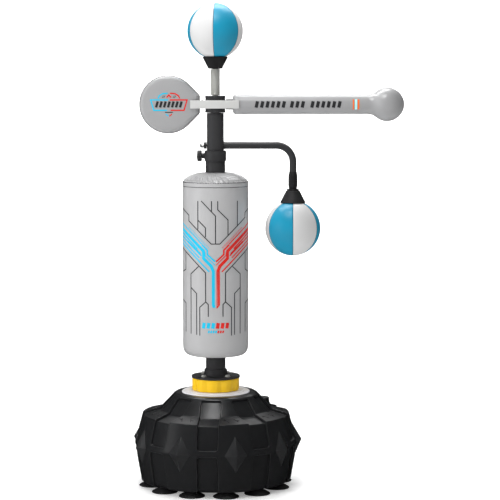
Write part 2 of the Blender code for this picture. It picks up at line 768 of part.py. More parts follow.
def add_mast(slide, turn):
    glide_outer = POST_RADIUS - TUBE_WALL - SLIP
    glide = [
        (MAST_RADIUS + MAST_SLIP, MAST_BOTTOM + GLIDE_HEIGHT), (glide_outer, MAST_BOTTOM + GLIDE_HEIGHT),
        (glide_outer, MAST_BOTTOM - 0.0045), (0.024, MAST_BOTTOM - 0.0045),
        (0.024, MAST_BOTTOM - GAP), (MAST_RADIUS + MAST_SLIP, MAST_BOTTOM - GAP),
    ]
    add_piece("mast_glide", turned_mesh(glide, ROUND, closed=True), "black_plastic", slide)

    inner = MAST_RADIUS - TUBE_WALL
    mast = add_piece("upper_tube", ring_mesh(inner, MAST_RADIUS, MAST_BOTTOM, MAST_TOP),
                     "black_steel", turn)
    arm_hole = rod_mesh((0, 0, ARM_HEIGHT), (0.050, 0, ARM_HEIGHT), ARM_RADIUS + 2 * SLIP)
    stud_hole = rod_mesh((0, 0, ARM_HEIGHT), (-0.050, 0, ARM_HEIGHT), ARM_STUD + GAP)
    combine(mast, "DIFFERENCE", "arm_hole", arm_hole)
    combine(mast, "DIFFERENCE", "arm_stud_hole", stud_hole)

    shoulder = HUB_BOTTOM + 0.0002
    spindle = [
        (0.0, SPRING_BOTTOM + SEAT_LENGTH), (SEAT_RADIUS, SPRING_BOTTOM + SEAT_LENGTH),
        (SEAT_RADIUS, SPRING_BOTTOM - GAP), (SHAFT_RADIUS, SPRING_BOTTOM - GAP),
        (SHAFT_RADIUS, shoulder), (0.0165, shoulder), (0.0165, MAST_TOP),
        (inner - GAP, MAST_TOP), (inner - GAP, MAST_TOP - 0.040), (0.0, MAST_TOP - 0.040),
    ]
    add_piece("spindle", turned_mesh(spindle, ROUND), "bright_steel", turn)


def arm_path():
    """Centre line of the arm's bent part: out to the right, round the bend and down."""
    bend = arc((ARM_REACH - ARM_BEND, ARM_HEIGHT - ARM_BEND), ARM_BEND, 90, 0, 6)
    return [(x, 0, z) for x, z in bend]


def add_arm(turn):
    path = [(-ARM_PLUG_END, 0, ARM_HEIGHT)] + arm_path() + [(ARM_REACH, 0, ARM_END)]
    arm = add_piece("arm_tube", wire_mesh(path, ARM_RADIUS, 4), "black_steel", turn)
    bore_path = [(-0.012, 0, ARM_HEIGHT)] + arm_path() + [(ARM_REACH, 0, ARM_END - 0.010)]
    combine(arm, "DIFFERENCE", "arm_bore", wire_mesh(bore_path, ARM_RADIUS - ARM_WALL, 2))
    stud_end = ACORN_END - 0.003
    stud = rod_mesh((-0.020, 0, ARM_HEIGHT), (-stud_end, 0, ARM_HEIGHT), ARM_STUD, 8)
    combine(arm, "UNION", "arm_stud", stud)

    place = (0, 0, ARM_HEIGHT)
    outwards = (0, math.radians(-90), 0)
    spacer = ring_mesh(ARM_STUD + GAP, 0.012, SPACER[0] + GAP, SPACER[1], SMALL)
    add_piece("arm_spacer", spacer, "black_plastic", turn, place, outwards)
    acorn = [
        (0.0, ACORN_END), (0.0050, ACORN_END - 0.001), (0.0080, ACORN_END - 0.004),
        (0.0088, ACORN_END - 0.008), (0.0095, ACORN_END - 0.009), (0.0095, SPACER[1] + GAP),
        (ARM_STUD + GAP, SPACER[1] + GAP), (ARM_STUD + GAP, stud_end + GAP), (0.0, stud_end + GAP),
    ]
    add_piece("acorn_nut", turned_mesh(acorn, SMALL), "bright_steel", turn, place, outwards)


# ---------------------------------------------------------------- spinner

def add_hub(spin):
    bearing_seat = BEARING_RADIUS + GAP
    low_end = HUB_BOTTOM + BEARING_WIDTH + 0.0013
    high_start = HUB_TOP - BEARING_WIDTH - 0.0008
    profile = [
        (bearing_seat, HUB_TOP), (HUB_RADIUS - 0.0015, HUB_TOP), (HUB_RADIUS, HUB_TOP - 0.0015),
        (HUB_RADIUS, HUB_BOTTOM + 0.0015), (HUB_RADIUS - 0.0015, HUB_BOTTOM),
        (bearing_seat, HUB_BOTTOM), (bearing_seat, low_end), (0.020, low_end),
        (0.020, high_start), (bearing_seat, high_start),
    ]
    add_piece("spinner_hub", turned_mesh(profile, ROUND, closed=True), "black_steel", spin)
    bearing_inner = SHAFT_RADIUS + SLIP
    for name, bottom in (("bearing_lower", HUB_BOTTOM + 0.001), ("bearing_upper", high_start + GAP)):
        bearing = ring_mesh(bearing_inner, BEARING_RADIUS, bottom, bottom + BEARING_WIDTH)
        add_piece(name, bearing, "bright_steel", spin)


def bolt_holes_mesh(half_length, radius):
    """Cutter for all strap bolts, through everything within a distance of the middle plane."""
    holes = []
    for x, rise in STRAP_BOLTS:
        height = SPIN_HEIGHT + rise
        holes.append(rod_mesh((x, half_length, height), (x, -half_length, height), radius, 8))
    return joined_mesh(holes)


def add_straps(spin):
    near = HUB_RADIUS + GAP
    far = near + STRAP_THICKNESS
    bottom, top = SPIN_HEIGHT - STRAP_HEIGHT / 2, SPIN_HEIGHT + STRAP_HEIGHT / 2
    front_mesh = block_mesh((STRAP_LEFT, -far, bottom), (STRAP_RIGHT, -near, top))
    front = add_piece("strap_front", front_mesh, "strap", spin)
    nuts = []
    for x, rise in STRAP_BOLTS:
        height = SPIN_HEIGHT + rise
        nuts.append(rod_mesh((x, -far + 0.001, height), (x, WELD_NUT[1] - near, height), WELD_NUT[0], 6))
    combine(front, "UNION", "weld_nuts", joined_mesh(nuts))
    threads = [
        rod_mesh((x, -near + 0.020, SPIN_HEIGHT + rise), (x, -near, SPIN_HEIGHT + rise),
                 STRAP_BOLT_RADIUS + GAP, 8)
        for x, rise in STRAP_BOLTS
    ]
    combine(front, "DIFFERENCE", "nut_threads", joined_mesh(threads))

    rear_mesh = block_mesh((STRAP_LEFT, near, bottom), (STRAP_RIGHT, far, top))
    rear = add_piece("strap_rear", rear_mesh, "strap", spin)
    combine(rear, "DIFFERENCE", "rear_holes", bolt_holes_mesh(far + 0.010, STRAP_BOLT_RADIUS + GAP))

    mesh = hex_bolt_mesh(*STRAP_BOLT_HEAD, STRAP_BOLT_RADIUS, far + near - 0.001)
    backwards = (math.radians(-90), 0, 0)
    for number, (x, rise) in enumerate(STRAP_BOLTS, start=1):
        place = (x, far + GAP, SPIN_HEIGHT + rise)
        add_piece(f"strap_bolt_{number}", mesh, "bright_steel", spin, place, backwards)


def bar_profile(margin):
    """Outer side of the bar along its axis, tip first, moved inwards by a margin."""
    reach = math.sqrt((BAR_KNOB_RADIUS + BAR_FLARE) ** 2 - (BAR_RADIUS + BAR_FLARE) ** 2)
    flare_centre = (BAR_RADIUS + BAR_FLARE, BAR_KNOB_CENTRE - reach)
    meet = math.degrees(math.atan2(reach, flare_centre[0]))
    profile = arc((0, BAR_KNOB_CENTRE), BAR_KNOB_RADIUS, 90, -meet, 7)
    profile += arc(flare_centre, BAR_FLARE, 180 - meet, 180, 2)[1:]
    profile += arc((BAR_RADIUS - BAR_EDGE, BAR_START + BAR_EDGE), BAR_EDGE, 0, -90, 1)
    profile[0] = (0.0, profile[0][1])
    profile.append((CORE_RADIUS + 2 * SLIP, BAR_START))
    moved = inset(profile, margin)
    moved[0] = (0.0, profile[0][1] - margin)
    moved[-1] = (profile[-1][0], moved[-1][1])
    return moved


def add_bar(spin):
    place = (0, 0, SPIN_HEIGHT)
    along = (0, math.radians(90), 0)
    core = ring_mesh(CORE_RADIUS - TUBE_WALL, CORE_RADIUS, CORE_START, BAR_CORE_END, SMALL)
    core = moved_mesh(core, Matrix.Translation(place) @ Matrix.Rotation(along[1], 4, "Y"))
    tube = add_piece("bar_core", core, "black_steel", spin)
    combine(tube, "DIFFERENCE", "bar_bolt_holes", bolt_holes_mesh(0.050, STRAP_BOLT_RADIUS + GAP))

    cover = bar_profile(0.0) + bar_profile(SKIN)[::-1]
    add_piece("bar_cover", turned_mesh(cover, ROUND), "grey_leather", spin, place, along)
    foam = bar_profile(SKIN + GAP)
    foam += [(CORE_RADIUS + 2 * SLIP, BAR_CORE_END + GAP), (0.0, BAR_CORE_END + GAP)]
    add_piece("bar_foam", turned_mesh(foam, ROUND), "foam", spin, place, along)


def paddle_outline(margin, extension):
    """Disc, the straight sides that touch it and a flat edge, inset by a margin.

    An extension carries the neck on past its edge, with straight sides.
    """
    half_neck = PADDLE_NECK / 2
    reach = PADDLE_EDGE - PADDLE_CENTRE
    corner = math.atan2(half_neck, reach)
    sweep = math.degrees(corner + math.acos(PADDLE_RADIUS / math.hypot(half_neck, reach)))
    rim = arc((PADDLE_CENTRE, 0), PADDLE_RADIUS, -sweep, sweep - 360, 16)
    outline = inset([(PADDLE_EDGE, -half_neck)] + rim + [(PADDLE_EDGE, half_neck)], margin)
    for end, neighbour in ((0, 1), (-1, -2)):
        (x1, y1), (x2, y2) = outline[end], outline[neighbour]
        edge = PADDLE_EDGE - margin
        outline[end] = (edge, y1 + (y2 - y1) * (edge - x1) / (x2 - x1))
    if extension:
        outline.insert(0, (PADDLE_EDGE + extension, outline[0][1]))
        outline.append((PADDLE_EDGE + extension, outline[-1][1]))
    return outline


def paddle_mesh(margin, extension=0.0):
    """The paddle's padded body, its faces in XZ, moved inwards by a margin on all sides."""
    outline = paddle_outline(margin, extension)
    rounding = PADDLE_ROUNDING - margin
    slab = standing(slab_mesh([outline], PADDLE_THICKNESS - 2 * margin, rounding))
    return moved_mesh(slab, Matrix.Translation((0, 0, SPIN_HEIGHT)))


def board_and_stem(margin):
    """The paddle's round inner board and the stem on it, grown by a margin."""
    half = BOARD_THICKNESS / 2 + margin
    front, back = (PADDLE_CENTRE, -half, SPIN_HEIGHT), (PADDLE_CENTRE, half, SPIN_HEIGHT)
    board = rod_mesh(back, front, BOARD_RADIUS + margin, ROUND)
    start, end = (STEM_START - margin, 0, SPIN_HEIGHT), (margin - CORE_START, 0, SPIN_HEIGHT)
    stem = rod_mesh(start, end, STEM_RADIUS + margin)
    return board, stem


def add_paddle(spin):
    board, stem = board_and_stem(0.0)
    core = add_piece("paddle_core", board, "black_plastic", spin)
    combine(core, "UNION", "paddle_stem", stem)
    combine(core, "DIFFERENCE", "stem_bolt_holes", bolt_holes_mesh(0.050, STRAP_BOLT_RADIUS + GAP))

    cover = add_piece("paddle_cover", paddle_mesh(0.0), "grey_leather", spin)
    combine(cover, "DIFFERENCE", "cover_hollow", paddle_mesh(SKIN, 0.030))

    foam = add_piece("paddle_foam", paddle_mesh(SKIN + GAP), "foam", spin)
    for name, room in zip(("board_room", "stem_room"), board_and_stem(GAP)):
        combine(foam, "DIFFERENCE", name, room)


# ---------------------------------------------------------------- reflex balls

def ball_mesh():
    """Hollow ball about the origin, with a small hole at the bottom for its valve."""
    hole = math.degrees(math.asin(BALL_HOLE / BALL_RADIUS))
    outer = arc((0, 0), BALL_RADIUS, 90, -90 + hole, 7)
    inner = arc((0, 0), BALL_RADIUS - BALL_WALL, -90 + hole, 90, 6)
    outer[0] = (0.0, BALL_RADIUS)
    inner[-1] = (0.0, BALL_RADIUS - BALL_WALL)
    return turned_mesh(outer + inner, ROUND)


def cup_mesh(neck, seat_length):
    """Cup that holds a ball centred on the origin; its neck leads to a seat that runs down -Z."""
    rest = BALL_RADIUS + 2 * GAP
    mouth = math.degrees(math.asin((CUP_MOUTH - 0.0015) / rest))
    dish = arc((0, 0), rest, -90, -90 + mouth, 3)
    dish[0] = (0.0, -rest)
    outside = [
        (CUP_MOUTH, CUP_BOTTOM + CUP_DEPTH), (CUP_NECK, CUP_BOTTOM + 0.003),
        (CUP_NECK - 0.002, CUP_BOTTOM),
    ]
    seat_end = CUP_BOTTOM - seat_length
    return turned_mesh(dish + outside + neck + [(SEAT_RADIUS, seat_end), (0.0, seat_end)], ROUND)


def spring_points():
    """Centre line of the close-wound spring, from its bottom end to its top end."""
    radius = SPRING_RADIUS - WIRE_RADIUS
    bottom = SPRING_BOTTOM + WIRE_RADIUS
    rise = SPRING_TOP - GAP - WIRE_RADIUS - bottom
    count = SPRING_TURNS * SPRING_POINTS
    points = []
    for index in range(count + 1):
        angle = 2 * math.pi * index / SPRING_POINTS
        height = bottom + rise * index / count
        points.append((radius * math.cos(angle), radius * math.sin(angle), height))
    return points


def add_top_ball(turn):
    centre = (0, 0, (SPRING_BOTTOM + SPRING_TOP) / 2)
    bend = add_pivot("top_spring_bend", centre, turn)
    add_piece("top_spring", wire_mesh(spring_points(), WIRE_RADIUS, 0), "bright_steel", bend)
    tilt = add_pivot("top_ball_tilt", centre, bend)
    place = (0, 0, TOP_BALL)
    add_piece("top_ball", ball_mesh(), "ball_leather", tilt, place)
    neck = [(SEAT_RADIUS, CUP_BOTTOM)]
    add_piece("top_cone", cup_mesh(neck, SEAT_LENGTH), "black_rubber", tilt, place)


def add_lower_ball(turn):
    centre = (ARM_REACH, 0, (ARM_END + LOWER_SEAT_TOP) / 2)
    bend = add_pivot("sleeve_bend", centre, turn)
    seat = SEAT_RADIUS + 2 * SLIP
    arm = ARM_RADIUS + 2 * SLIP
    profile = [
        (arm, SLEEVE_TOP), (SLEEVE_RADIUS, SLEEVE_TOP), (SLEEVE_RADIUS, SLEEVE_BOTTOM + 0.013),
        (SLEEVE_RADIUS - 0.003, SLEEVE_BOTTOM), (seat, SLEEVE_BOTTOM), (seat, ARM_END - 0.001),
        (arm, ARM_END - 0.001),
    ]
    sleeve = turned_mesh(profile, ROUND, closed=True)
    add_piece("arm_sleeve", sleeve, "black_rubber", bend, (ARM_REACH, 0, 0))

    tilt = add_pivot("lower_ball_tilt", centre, bend)
    place = (ARM_REACH, 0, LOWER_BALL)
    upside_down = (math.radians(180), 0, 0)
    ring_radius, ring_height = NECK_RING
    ring_end = CUP_BOTTOM - ring_height
    neck = [(ring_radius, CUP_BOTTOM), (ring_radius, ring_end), (SEAT_RADIUS, ring_end)]
    seat_length = LOWER_SEAT_TOP - LOWER_BALL + CUP_BOTTOM
    add_piece("lower_ball", ball_mesh(), "ball_leather", tilt, place, upside_down)
    add_piece("lower_cone", cup_mesh(neck, seat_length), "black_rubber", tilt, place, upside_down)


# ---------------------------------------------------------------- assembly

def shade(piece):
    """Round surfaces look round, and edges sharper than 35 degrees stay sharp."""
    piece.data.shade_smooth()
    piece.data.set_sharp_from_angle(angle=math.radians(35))


def build():
    add_tank()
    add_filler()
    add_suction_cups()
    sway = add_pivot("sway", (0, 0, SWAY_HEIGHT))
    add_foot(sway)
    add_post_flange(sway)
    add_post(sway)
    add_bag(sway)
    add_knob(sway)
    slide = add_pivot("mast_slide", (0, 0, MAST_BOTTOM), sway)
    turn = add_pivot("mast_turn", (0, 0, MAST_BOTTOM), slide)
    add_mast(slide, turn)
    add_arm(turn)
    spin = add_pivot("spin", (0, 0, SPIN_HEIGHT), turn)
    add_hub(spin)
    add_straps(spin)
    add_bar(spin)
    add_paddle(spin)
    add_top_ball(turn)
    add_lower_ball(turn)
    for piece in PIECES.objects:
        if piece.type == "MESH":
            shade(piece)


build()
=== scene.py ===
"""Visual model of the free-standing boxing trainer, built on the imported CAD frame.

Metres, +Z up, front towards -Y, as in the CAD: the origin is the centre of the tank's flat
underside on the mast's axis. Headings around the mast are in degrees from -Y towards +X.
"""

import json
import math

import bmesh
import bpy
import numpy as np
from mathutils import Matrix, Vector
from mathutils.bvhtree import BVHTree


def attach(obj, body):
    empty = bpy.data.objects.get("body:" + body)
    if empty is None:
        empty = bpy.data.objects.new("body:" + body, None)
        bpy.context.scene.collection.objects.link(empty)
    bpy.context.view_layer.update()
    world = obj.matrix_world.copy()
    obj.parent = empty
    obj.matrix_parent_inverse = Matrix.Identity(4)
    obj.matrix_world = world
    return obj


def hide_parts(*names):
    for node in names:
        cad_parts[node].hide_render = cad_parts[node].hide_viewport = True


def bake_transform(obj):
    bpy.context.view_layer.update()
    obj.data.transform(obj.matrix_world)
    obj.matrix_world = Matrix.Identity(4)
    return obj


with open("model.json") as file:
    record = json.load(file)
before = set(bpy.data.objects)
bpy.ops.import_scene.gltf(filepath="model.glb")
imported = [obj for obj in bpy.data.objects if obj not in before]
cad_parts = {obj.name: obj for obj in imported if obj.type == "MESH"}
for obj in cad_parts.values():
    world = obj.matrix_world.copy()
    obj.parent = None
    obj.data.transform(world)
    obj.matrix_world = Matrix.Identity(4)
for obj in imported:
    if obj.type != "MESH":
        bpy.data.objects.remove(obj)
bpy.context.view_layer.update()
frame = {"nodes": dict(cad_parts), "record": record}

# Heights and sizes that the CAD fixes
FLOOR = -0.02
DISC_TOP = 0.32
SWAY_HEIGHT = 0.3424
COLLAR_BOTTOM, COLLAR_TOP = 1.138, 1.173
KNOB_HEIGHT, SCREW_HOLE_RADIUS = 1.156, 0.0062
MAST_RADIUS, POST_RADIUS = 0.03, 0.035
MAST_TOP = 1.3075
HUB_BOTTOM, HUB_TOP, HUB_RADIUS = 1.3085, 1.368, 0.036
SPIN_HEIGHT = 1.3375
BAG_RADIUS, BAG_BOTTOM, BAG_TOP, BAG_DOME = 0.1175, 0.444, 1.099, 0.034
TOP_BALL = Vector((0, 0, 1.595))
LOWER_BALL = Vector((0.275, 0, 0.899))
BALL_RADIUS = 0.1
SPRING_PIVOT, SLEEVE_PIVOT = 1.4159, 1.06
ARM_HEIGHT, ARM_REACH, ARM_RADIUS = 1.1926, 0.275, 0.0125
ARM_END, ARM_BEND = 1.08, 0.058

SECTORS = 9
SECTOR = 360 / SECTORS
GROOVE_HEADING = -6.0
LOBE_HEADINGS = [GROOVE_HEADING + SECTOR * (index + 0.5) for index in range(SECTORS)]


# ---- camera, light and stage

def look_at(thing, target):
    direction = Vector(target) - thing.location
    thing.rotation_euler = direction.to_track_quat("-Z", "Y").to_euler()


# Long lens in front of the mast; it looks a little down and a little to the left
CAMERA_PLACE = (0, -6.45, 1.4)
CAMERA_LENS, CAMERA_SENSOR = 131.0, 36
CAMERA_DOWN, CAMERA_ASIDE = 5.132, 1.09


def make_camera():
    data = bpy.data.cameras.new("camera")
    data.sensor_width = CAMERA_SENSOR
    data.lens = CAMERA_LENS
    camera = bpy.data.objects.new("camera", data)
    camera.location = CAMERA_PLACE
    camera.rotation_euler = (math.radians(90 - CAMERA_DOWN), 0, math.radians(-CAMERA_ASIDE))
    bpy.context.scene.collection.objects.link(camera)
    bpy.context.scene.camera = camera


def make_softbox(name, place, target, size, power, reflected):
    data = bpy.data.lights.new(name, "AREA")
    data.shape = "RECTANGLE"
    data.size, data.size_y = size
    data.energy = power
    light = bpy.data.objects.new(name, data)
    light.location = place
    light.visible_glossy = reflected
    look_at(light, target)
    bpy.context.scene.collection.objects.link(light)


STAGE_DEPTH, STAGE_RISE, STAGE_BEND, STAGE_HALF_WIDTH, STAGE_NEAR = 9.0, 9.0, 2.5, 40.0, -40.0
SURROUNDING = 0.39


def make_stage():
    """Pale floor that curves up behind, and an even white surrounding."""
    foot = STAGE_DEPTH - STAGE_BEND
    profile = [(STAGE_NEAR, FLOOR), (foot, FLOOR)]
    for angle in np.radians(np.arange(7.5, 90, 7.5)):
        profile.append((foot + STAGE_BEND * math.sin(angle), FLOOR + STAGE_BEND * (1 - math.cos(angle))))
    profile.append((STAGE_DEPTH, STAGE_RISE))
    rows = np.array([[(x, y, z) for x in (-STAGE_HALF_WIDTH, STAGE_HALF_WIDTH)] for y, z in profile])
    floor = bpy.data.objects.new("studio_floor", grid_mesh(rows, wrap=False, filled=False))
    floor.data.materials.append(make_material("floor", (0.9, 0.9, 0.9), 0.85, mottle=0.01, glow=0.25))
    floor.data.shade_smooth()
    floor.visible_glossy = False
    bpy.context.scene.collection.objects.link(floor)

    world = bpy.data.worlds.new("studio")
    world.use_nodes = True
    background = world.node_tree.nodes["Background"]
    background.inputs["Color"].default_value = (1.0, 1.0, 1.0, 1.0)
    background.inputs["Strength"].default_value = SURROUNDING
    world.cycles_visibility.glossy = False
    bpy.context.scene.world = world
    bpy.context.scene.view_settings.view_transform = "Standard"


# Name, place, target, size, power, and whether reflections show it
SOFTBOXES = [
    ("overhead", (-0.2, 0.1, 3.4), (-0.2, 0.1, 0.6), (2.0, 2.4), 26, False),
    ("top_strip", (-0.1, 0.9, 3.2), (0, 0, 1.0), (2.4, 0.4), 52, True),
    ("front_strip", (-0.25, -1.0, 3.2), (0, 0, 0.8), (0.9, 0.5), 22, True),
    ("key", (-3.6, -2.7, 1.5), (0, 0, 0.8), (2.0, 2.8), 90, False),
    ("front", (-0.8, -6.2, 1.2), (0, 0, 0.8), (0.9, 2.4), 24, False),
    ("left_strip", (-2.6, -1.0, 1.3), (0, 0, 0.8), (0.25, 2.2), 5, True),
    ("back", (0.6, 3.2, 2.8), (0, 0, 0.6), (3.0, 0.5), 14, True),
    ("backdrop", (0, 3.0, 4.0), (0, 9.0, 2.5), (12.0, 2.0), 900, False),
]


# ---- materials

MATERIALS = {}
COAT_ROUGHNESS = 0.3
UNEVEN_GLOSS = 0.04
PALE_EDGE_FROM, PALE_EDGE_TO = 0.52, 0.6      # sharpness of an edge where its pale edge, partly wear and partly painted highlight, starts and is full
PALE_EDGE_LIFT, PALE_EDGE_GAIN = 0.05, 1.6
PORES_PER_GRAIN, PORE_DEPTH, BUMP_STRENGTH = 0.6, 1.4, 0.6
MIX_FIRST, MIX_SECOND, MIX_RESULT = 6, 7, 2      # colour sockets of the mix node


def make_material(
    name, colour, roughness, metallic=0.0, grain=0.0, grain_size=0.001, cells=False,
    mottle=0.05, mottle_size=0.06, coat=0.0, edge_wear_and_highlight=0.0, glow=0.0,
):
    """Principled material with colour mottling, uneven gloss, a surface grain and pale edges that are
    partly wear and partly painted highlight.
    """
    made = bpy.data.materials.new(name)
    made.use_nodes = True
    nodes, link = made.node_tree.nodes, made.node_tree.links.new
    shader = nodes["Principled BSDF"]
    shader.inputs["Metallic"].default_value = metallic
    shader.inputs["Coat Weight"].default_value = coat
    shader.inputs["Coat Roughness"].default_value = COAT_ROUGHNESS
    shader.inputs["Emission Color"].default_value = (1.0, 1.0, 1.0, 1.0)
    shader.inputs["Emission Strength"].default_value = glow
    place = nodes.new("ShaderNodeTexCoord").outputs["Object"]

    def noise(size, detail):
        node = nodes.new("ShaderNodeTexNoise")
        node.inputs["Scale"].default_value = 1 / size
        node.inputs["Detail"].default_value = detail
        link(place, node.inputs["Vector"])
        return node.outputs["Fac"]

    def mixed(factor, first, second):
        node = nodes.new("ShaderNodeMix")
        node.data_type = "RGBA"
        link(factor, node.inputs["Factor"])
        for socket, value in ((node.inputs[MIX_FIRST], first), (node.inputs[MIX_SECOND], second)):
            if isinstance(value, tuple):
                socket.default_value = (*value, 1.0)
            else:
                link(value, socket)
        return node.outputs[MIX_RESULT]

    def ranged(value, low, high, start=0.3, end=0.7):
        node = nodes.new("ShaderNodeMapRange")
        limits = {"From Min": start, "From Max": end, "To Min": low, "To Max": high}
        for socket, number in limits.items():
            node.inputs[socket].default_value = number
        link(value, node.inputs["Value"])
        return node.outputs["Result"]

    dark = tuple(channel * (1 - mottle) for channel in colour)
    pale = tuple(min(1.0, channel * (1 + mottle)) for channel in colour)
    tint = mixed(noise(mottle_size, 4), dark, pale)
    # Pale sharp edges: partly real wear, partly painted highlight that stands in for light catching the
    # edges.
    if edge_wear_and_highlight:
        sharpness = nodes.new("ShaderNodeNewGeometry").outputs["Pointiness"]
        edges = ranged(sharpness, 0.0, edge_wear_and_highlight, PALE_EDGE_FROM, PALE_EDGE_TO)
        pale_edge_colour = tuple(min(1.0, PALE_EDGE_LIFT + channel * PALE_EDGE_GAIN) for channel in colour)
        tint = mixed(edges, tint, pale_edge_colour)
    link(tint, shader.inputs["Base Color"])
    gloss = ranged(noise(mottle_size / 2, 1), roughness - UNEVEN_GLOSS, roughness + UNEVEN_GLOSS)
    link(gloss, shader.inputs["Roughness"])
    if grain:
        height = noise(grain_size, 3)
        if cells:
            pores = nodes.new("ShaderNodeTexVoronoi")
            pores.feature = "SMOOTH_F1"
            pores.inputs["Scale"].default_value = PORES_PER_GRAIN / grain_size
            link(place, pores.inputs["Vector"])
            add = nodes.new("ShaderNodeMath")
            add.operation = "MULTIPLY_ADD"
            add.inputs[1].default_value = PORE_DEPTH
            link(pores.outputs["Distance"], add.inputs[0])
            link(height, add.inputs[2])
            height = add.outputs[0]
        bump = nodes.new("ShaderNodeBump")
        bump.inputs["Strength"].default_value = BUMP_STRENGTH
        bump.inputs["Distance"].default_value = grain
        link(height, bump.inputs["Height"])
        link(bump.outputs["Normal"], shader.inputs["Normal"])
    MATERIALS[name] = made
    return made


def make_materials():
    plain = dict(grain=0.00003, grain_size=0.0009)
    leather = dict(grain=0.00003, grain_size=0.0012, cells=True)
    moulded = dict(grain=0.00005, grain_size=0.0008, mottle=0.12, coat=0.1)
    # Pale edges on the tank, its bosses (weaker) and the black steel are partly wear and partly painted
    # highlight.
    make_material("tank", (0.013, 0.0135, 0.0145), 0.33, edge_wear_and_highlight=0.7, **moulded)
    make_material("tank_boss", (0.012, 0.0125, 0.0135), 0.33, edge_wear_and_highlight=0.3, **moulded)
    make_material("black_rubber", (0.014, 0.014, 0.015), 0.58, grain=0.00006, grain_size=0.0007,
                  mottle=0.15)
    make_material("sand", (0.55, 0.44, 0.3), 0.95, grain=0.0003, grain_size=0.0008)
    make_material("disc", (0.74, 0.74, 0.77), 0.36, mottle=0.04, coat=0.3, **plain)
    make_material("damper", (0.92, 0.56, 0.003), 0.36, mottle=0.05, coat=0.15, **plain)
    make_material("black_steel", (0.034, 0.034, 0.036), 0.46, mottle=0.08, grain=0.00003,
                  grain_size=0.0006, edge_wear_and_highlight=0.15)
    make_material("bright_steel", (0.56, 0.56, 0.53), 0.34, metallic=0.35, **plain)
    make_material("nut_steel", (0.4, 0.4, 0.4), 0.34, metallic=0.7, **plain)
    make_material("strap", (0.62, 0.62, 0.61), 0.34, metallic=0.15, mottle=0.03, **plain)
    make_material("black_plastic", (0.024, 0.024, 0.025), 0.45, mottle=0.1, **plain)
    make_material("foam", (0.12, 0.12, 0.13), 0.95, grain=0.0003, grain_size=0.002, cells=True)
    make_material("grey_leather", (0.42, 0.42, 0.425), 0.35, coat=0.6, **leather)
    # A darker copy of the grey leather for the bar and paddle pads: painted shade, since these pads sit
    # nearer the lamps than the bag.
    make_material("spinner_leather", (0.33, 0.33, 0.335), 0.35, coat=0.5, **leather)
    make_material("ball_leather", (0.002, 0.26, 0.42), 0.42, coat=0.1, **leather)
    make_material("white_leather", (0.59, 0.59, 0.59), 0.42, coat=0.1, mottle=0.03, **leather)
    make_material("thread", (0.035, 0.035, 0.036), 0.7, grain=0.00008, grain_size=0.0004)
    make_material("pale_thread", (0.5, 0.5, 0.5), 0.7, grain=0.00008, grain_size=0.0004)
    inks = {
        "ink_dark": (0.022, 0.022, 0.024),
        "ink_cyan": (0.0, 0.48, 0.72),
        "ink_red": (0.68, 0.01, 0.004),
        "ink_orange": (0.92, 0.17, 0.02),
        "ink_pale": (0.45, 0.86, 0.88),
    }
    for name, colour in inks.items():
        make_material(name, colour, 0.48, mottle=0.03, **leather)


# ---- mesh helpers

def heading_point(radius, heading, height=0.0):
    angle = math.radians(heading)
    return Vector((radius * math.sin(angle), -radius * math.cos(angle), height))


def rotation(degrees, axis):
    return Matrix.Rotation(math.radians(degrees), 4, axis)


def edited(mesh, edit):
    """Change a mesh through bmesh."""
    work = bmesh.new()
    work.from_mesh(mesh)
    edit(work)
    work.to_mesh(mesh)
    work.free()
    return mesh


def tidied(mesh, filled, merge=0.000002):
    """Weld what coincides, fill open ends if asked and turn all faces outwards."""
    def edit(work):
        bmesh.ops.remove_doubles(work, verts=work.verts, dist=merge)
        bmesh.ops.dissolve_degenerate(work, edges=work.edges, dist=merge)
        if filled:
            bmesh.ops.holes_fill(work, edges=[edge for edge in work.edges if edge.is_boundary])
        bmesh.ops.recalc_face_normals(work, faces=work.faces)
    return edited(mesh, edit)


def bevelled(mesh, offset, segments):
    return edited(mesh, lambda work: bmesh.ops.bevel(
        work, geom=work.edges[:], offset=offset, segments=segments, profile=0.5, affect="EDGES"))


def grid_faces(rows, columns, wrap):
    faces = []
    for row in range(rows - 1):
        for column in range(columns if wrap else columns - 1):
            beside = (column + 1) % columns
            here, below = row * columns, (row + 1) * columns
            faces.append((here + column, below + column, below + beside, here + beside))
    return faces


def grid_mesh(points, wrap=True, filled=True):
    """Mesh over an array of rows x columns of points; rows run down the outside."""
    rows, columns = points.shape[:2]
    mesh = bpy.data.meshes.new("shape")
    mesh.from_pydata(points.reshape(-1, 3).tolist(), [], grid_faces(rows, columns, wrap))
    return tidied(mesh, filled)


def fillet(points, radii, steps=4):
    """Round the inner corners of a polyline; each corner gives steps + 1 points."""
    rounded = [tuple(points[0])]
    for index in range(1, len(points) - 1):
        corner = Vector(points[index])
        before = Vector(points[index - 1]) - corner
        after = Vector(points[index + 1]) - corner
        radius = radii[index] if isinstance(radii, (list, tuple)) else radii
        half = before.angle(after) / 2
        reach = min(radius / max(math.tan(half), 0.001), before.length * 0.45, after.length * 0.45)
        start = corner + before.normalized() * reach
        end = corner + after.normalized() * reach
        for step in range(steps + 1):
            share = step / steps
            rounded.append(tuple(start.lerp(corner, share).lerp(corner.lerp(end, share), share)))
    rounded.append(tuple(points[-1]))
    return rounded


def pipe(inner, outer, low, high):
    """Profile of a ring with a rectangular section."""
    return [(inner, high), (outer, high), (outer, low), (inner, low), (inner, high)]


def rod(radius, low, high):
    """Profile of a solid round bar."""
    return [(0.0, high), (radius, high), (radius, low), (0.0, low)]


def run_lengths(points):
    return np.concatenate([[0.0], np.cumsum(np.linalg.norm(np.diff(points, axis=0), axis=1))])


def spaced(values, least=0.0004):
    """Sorted values, without those that come too close to the one before."""
    kept = []
    for value in sorted(values):
        if not kept or value - kept[-1] >= least:
            kept.append(float(value))
    return np.array(kept)


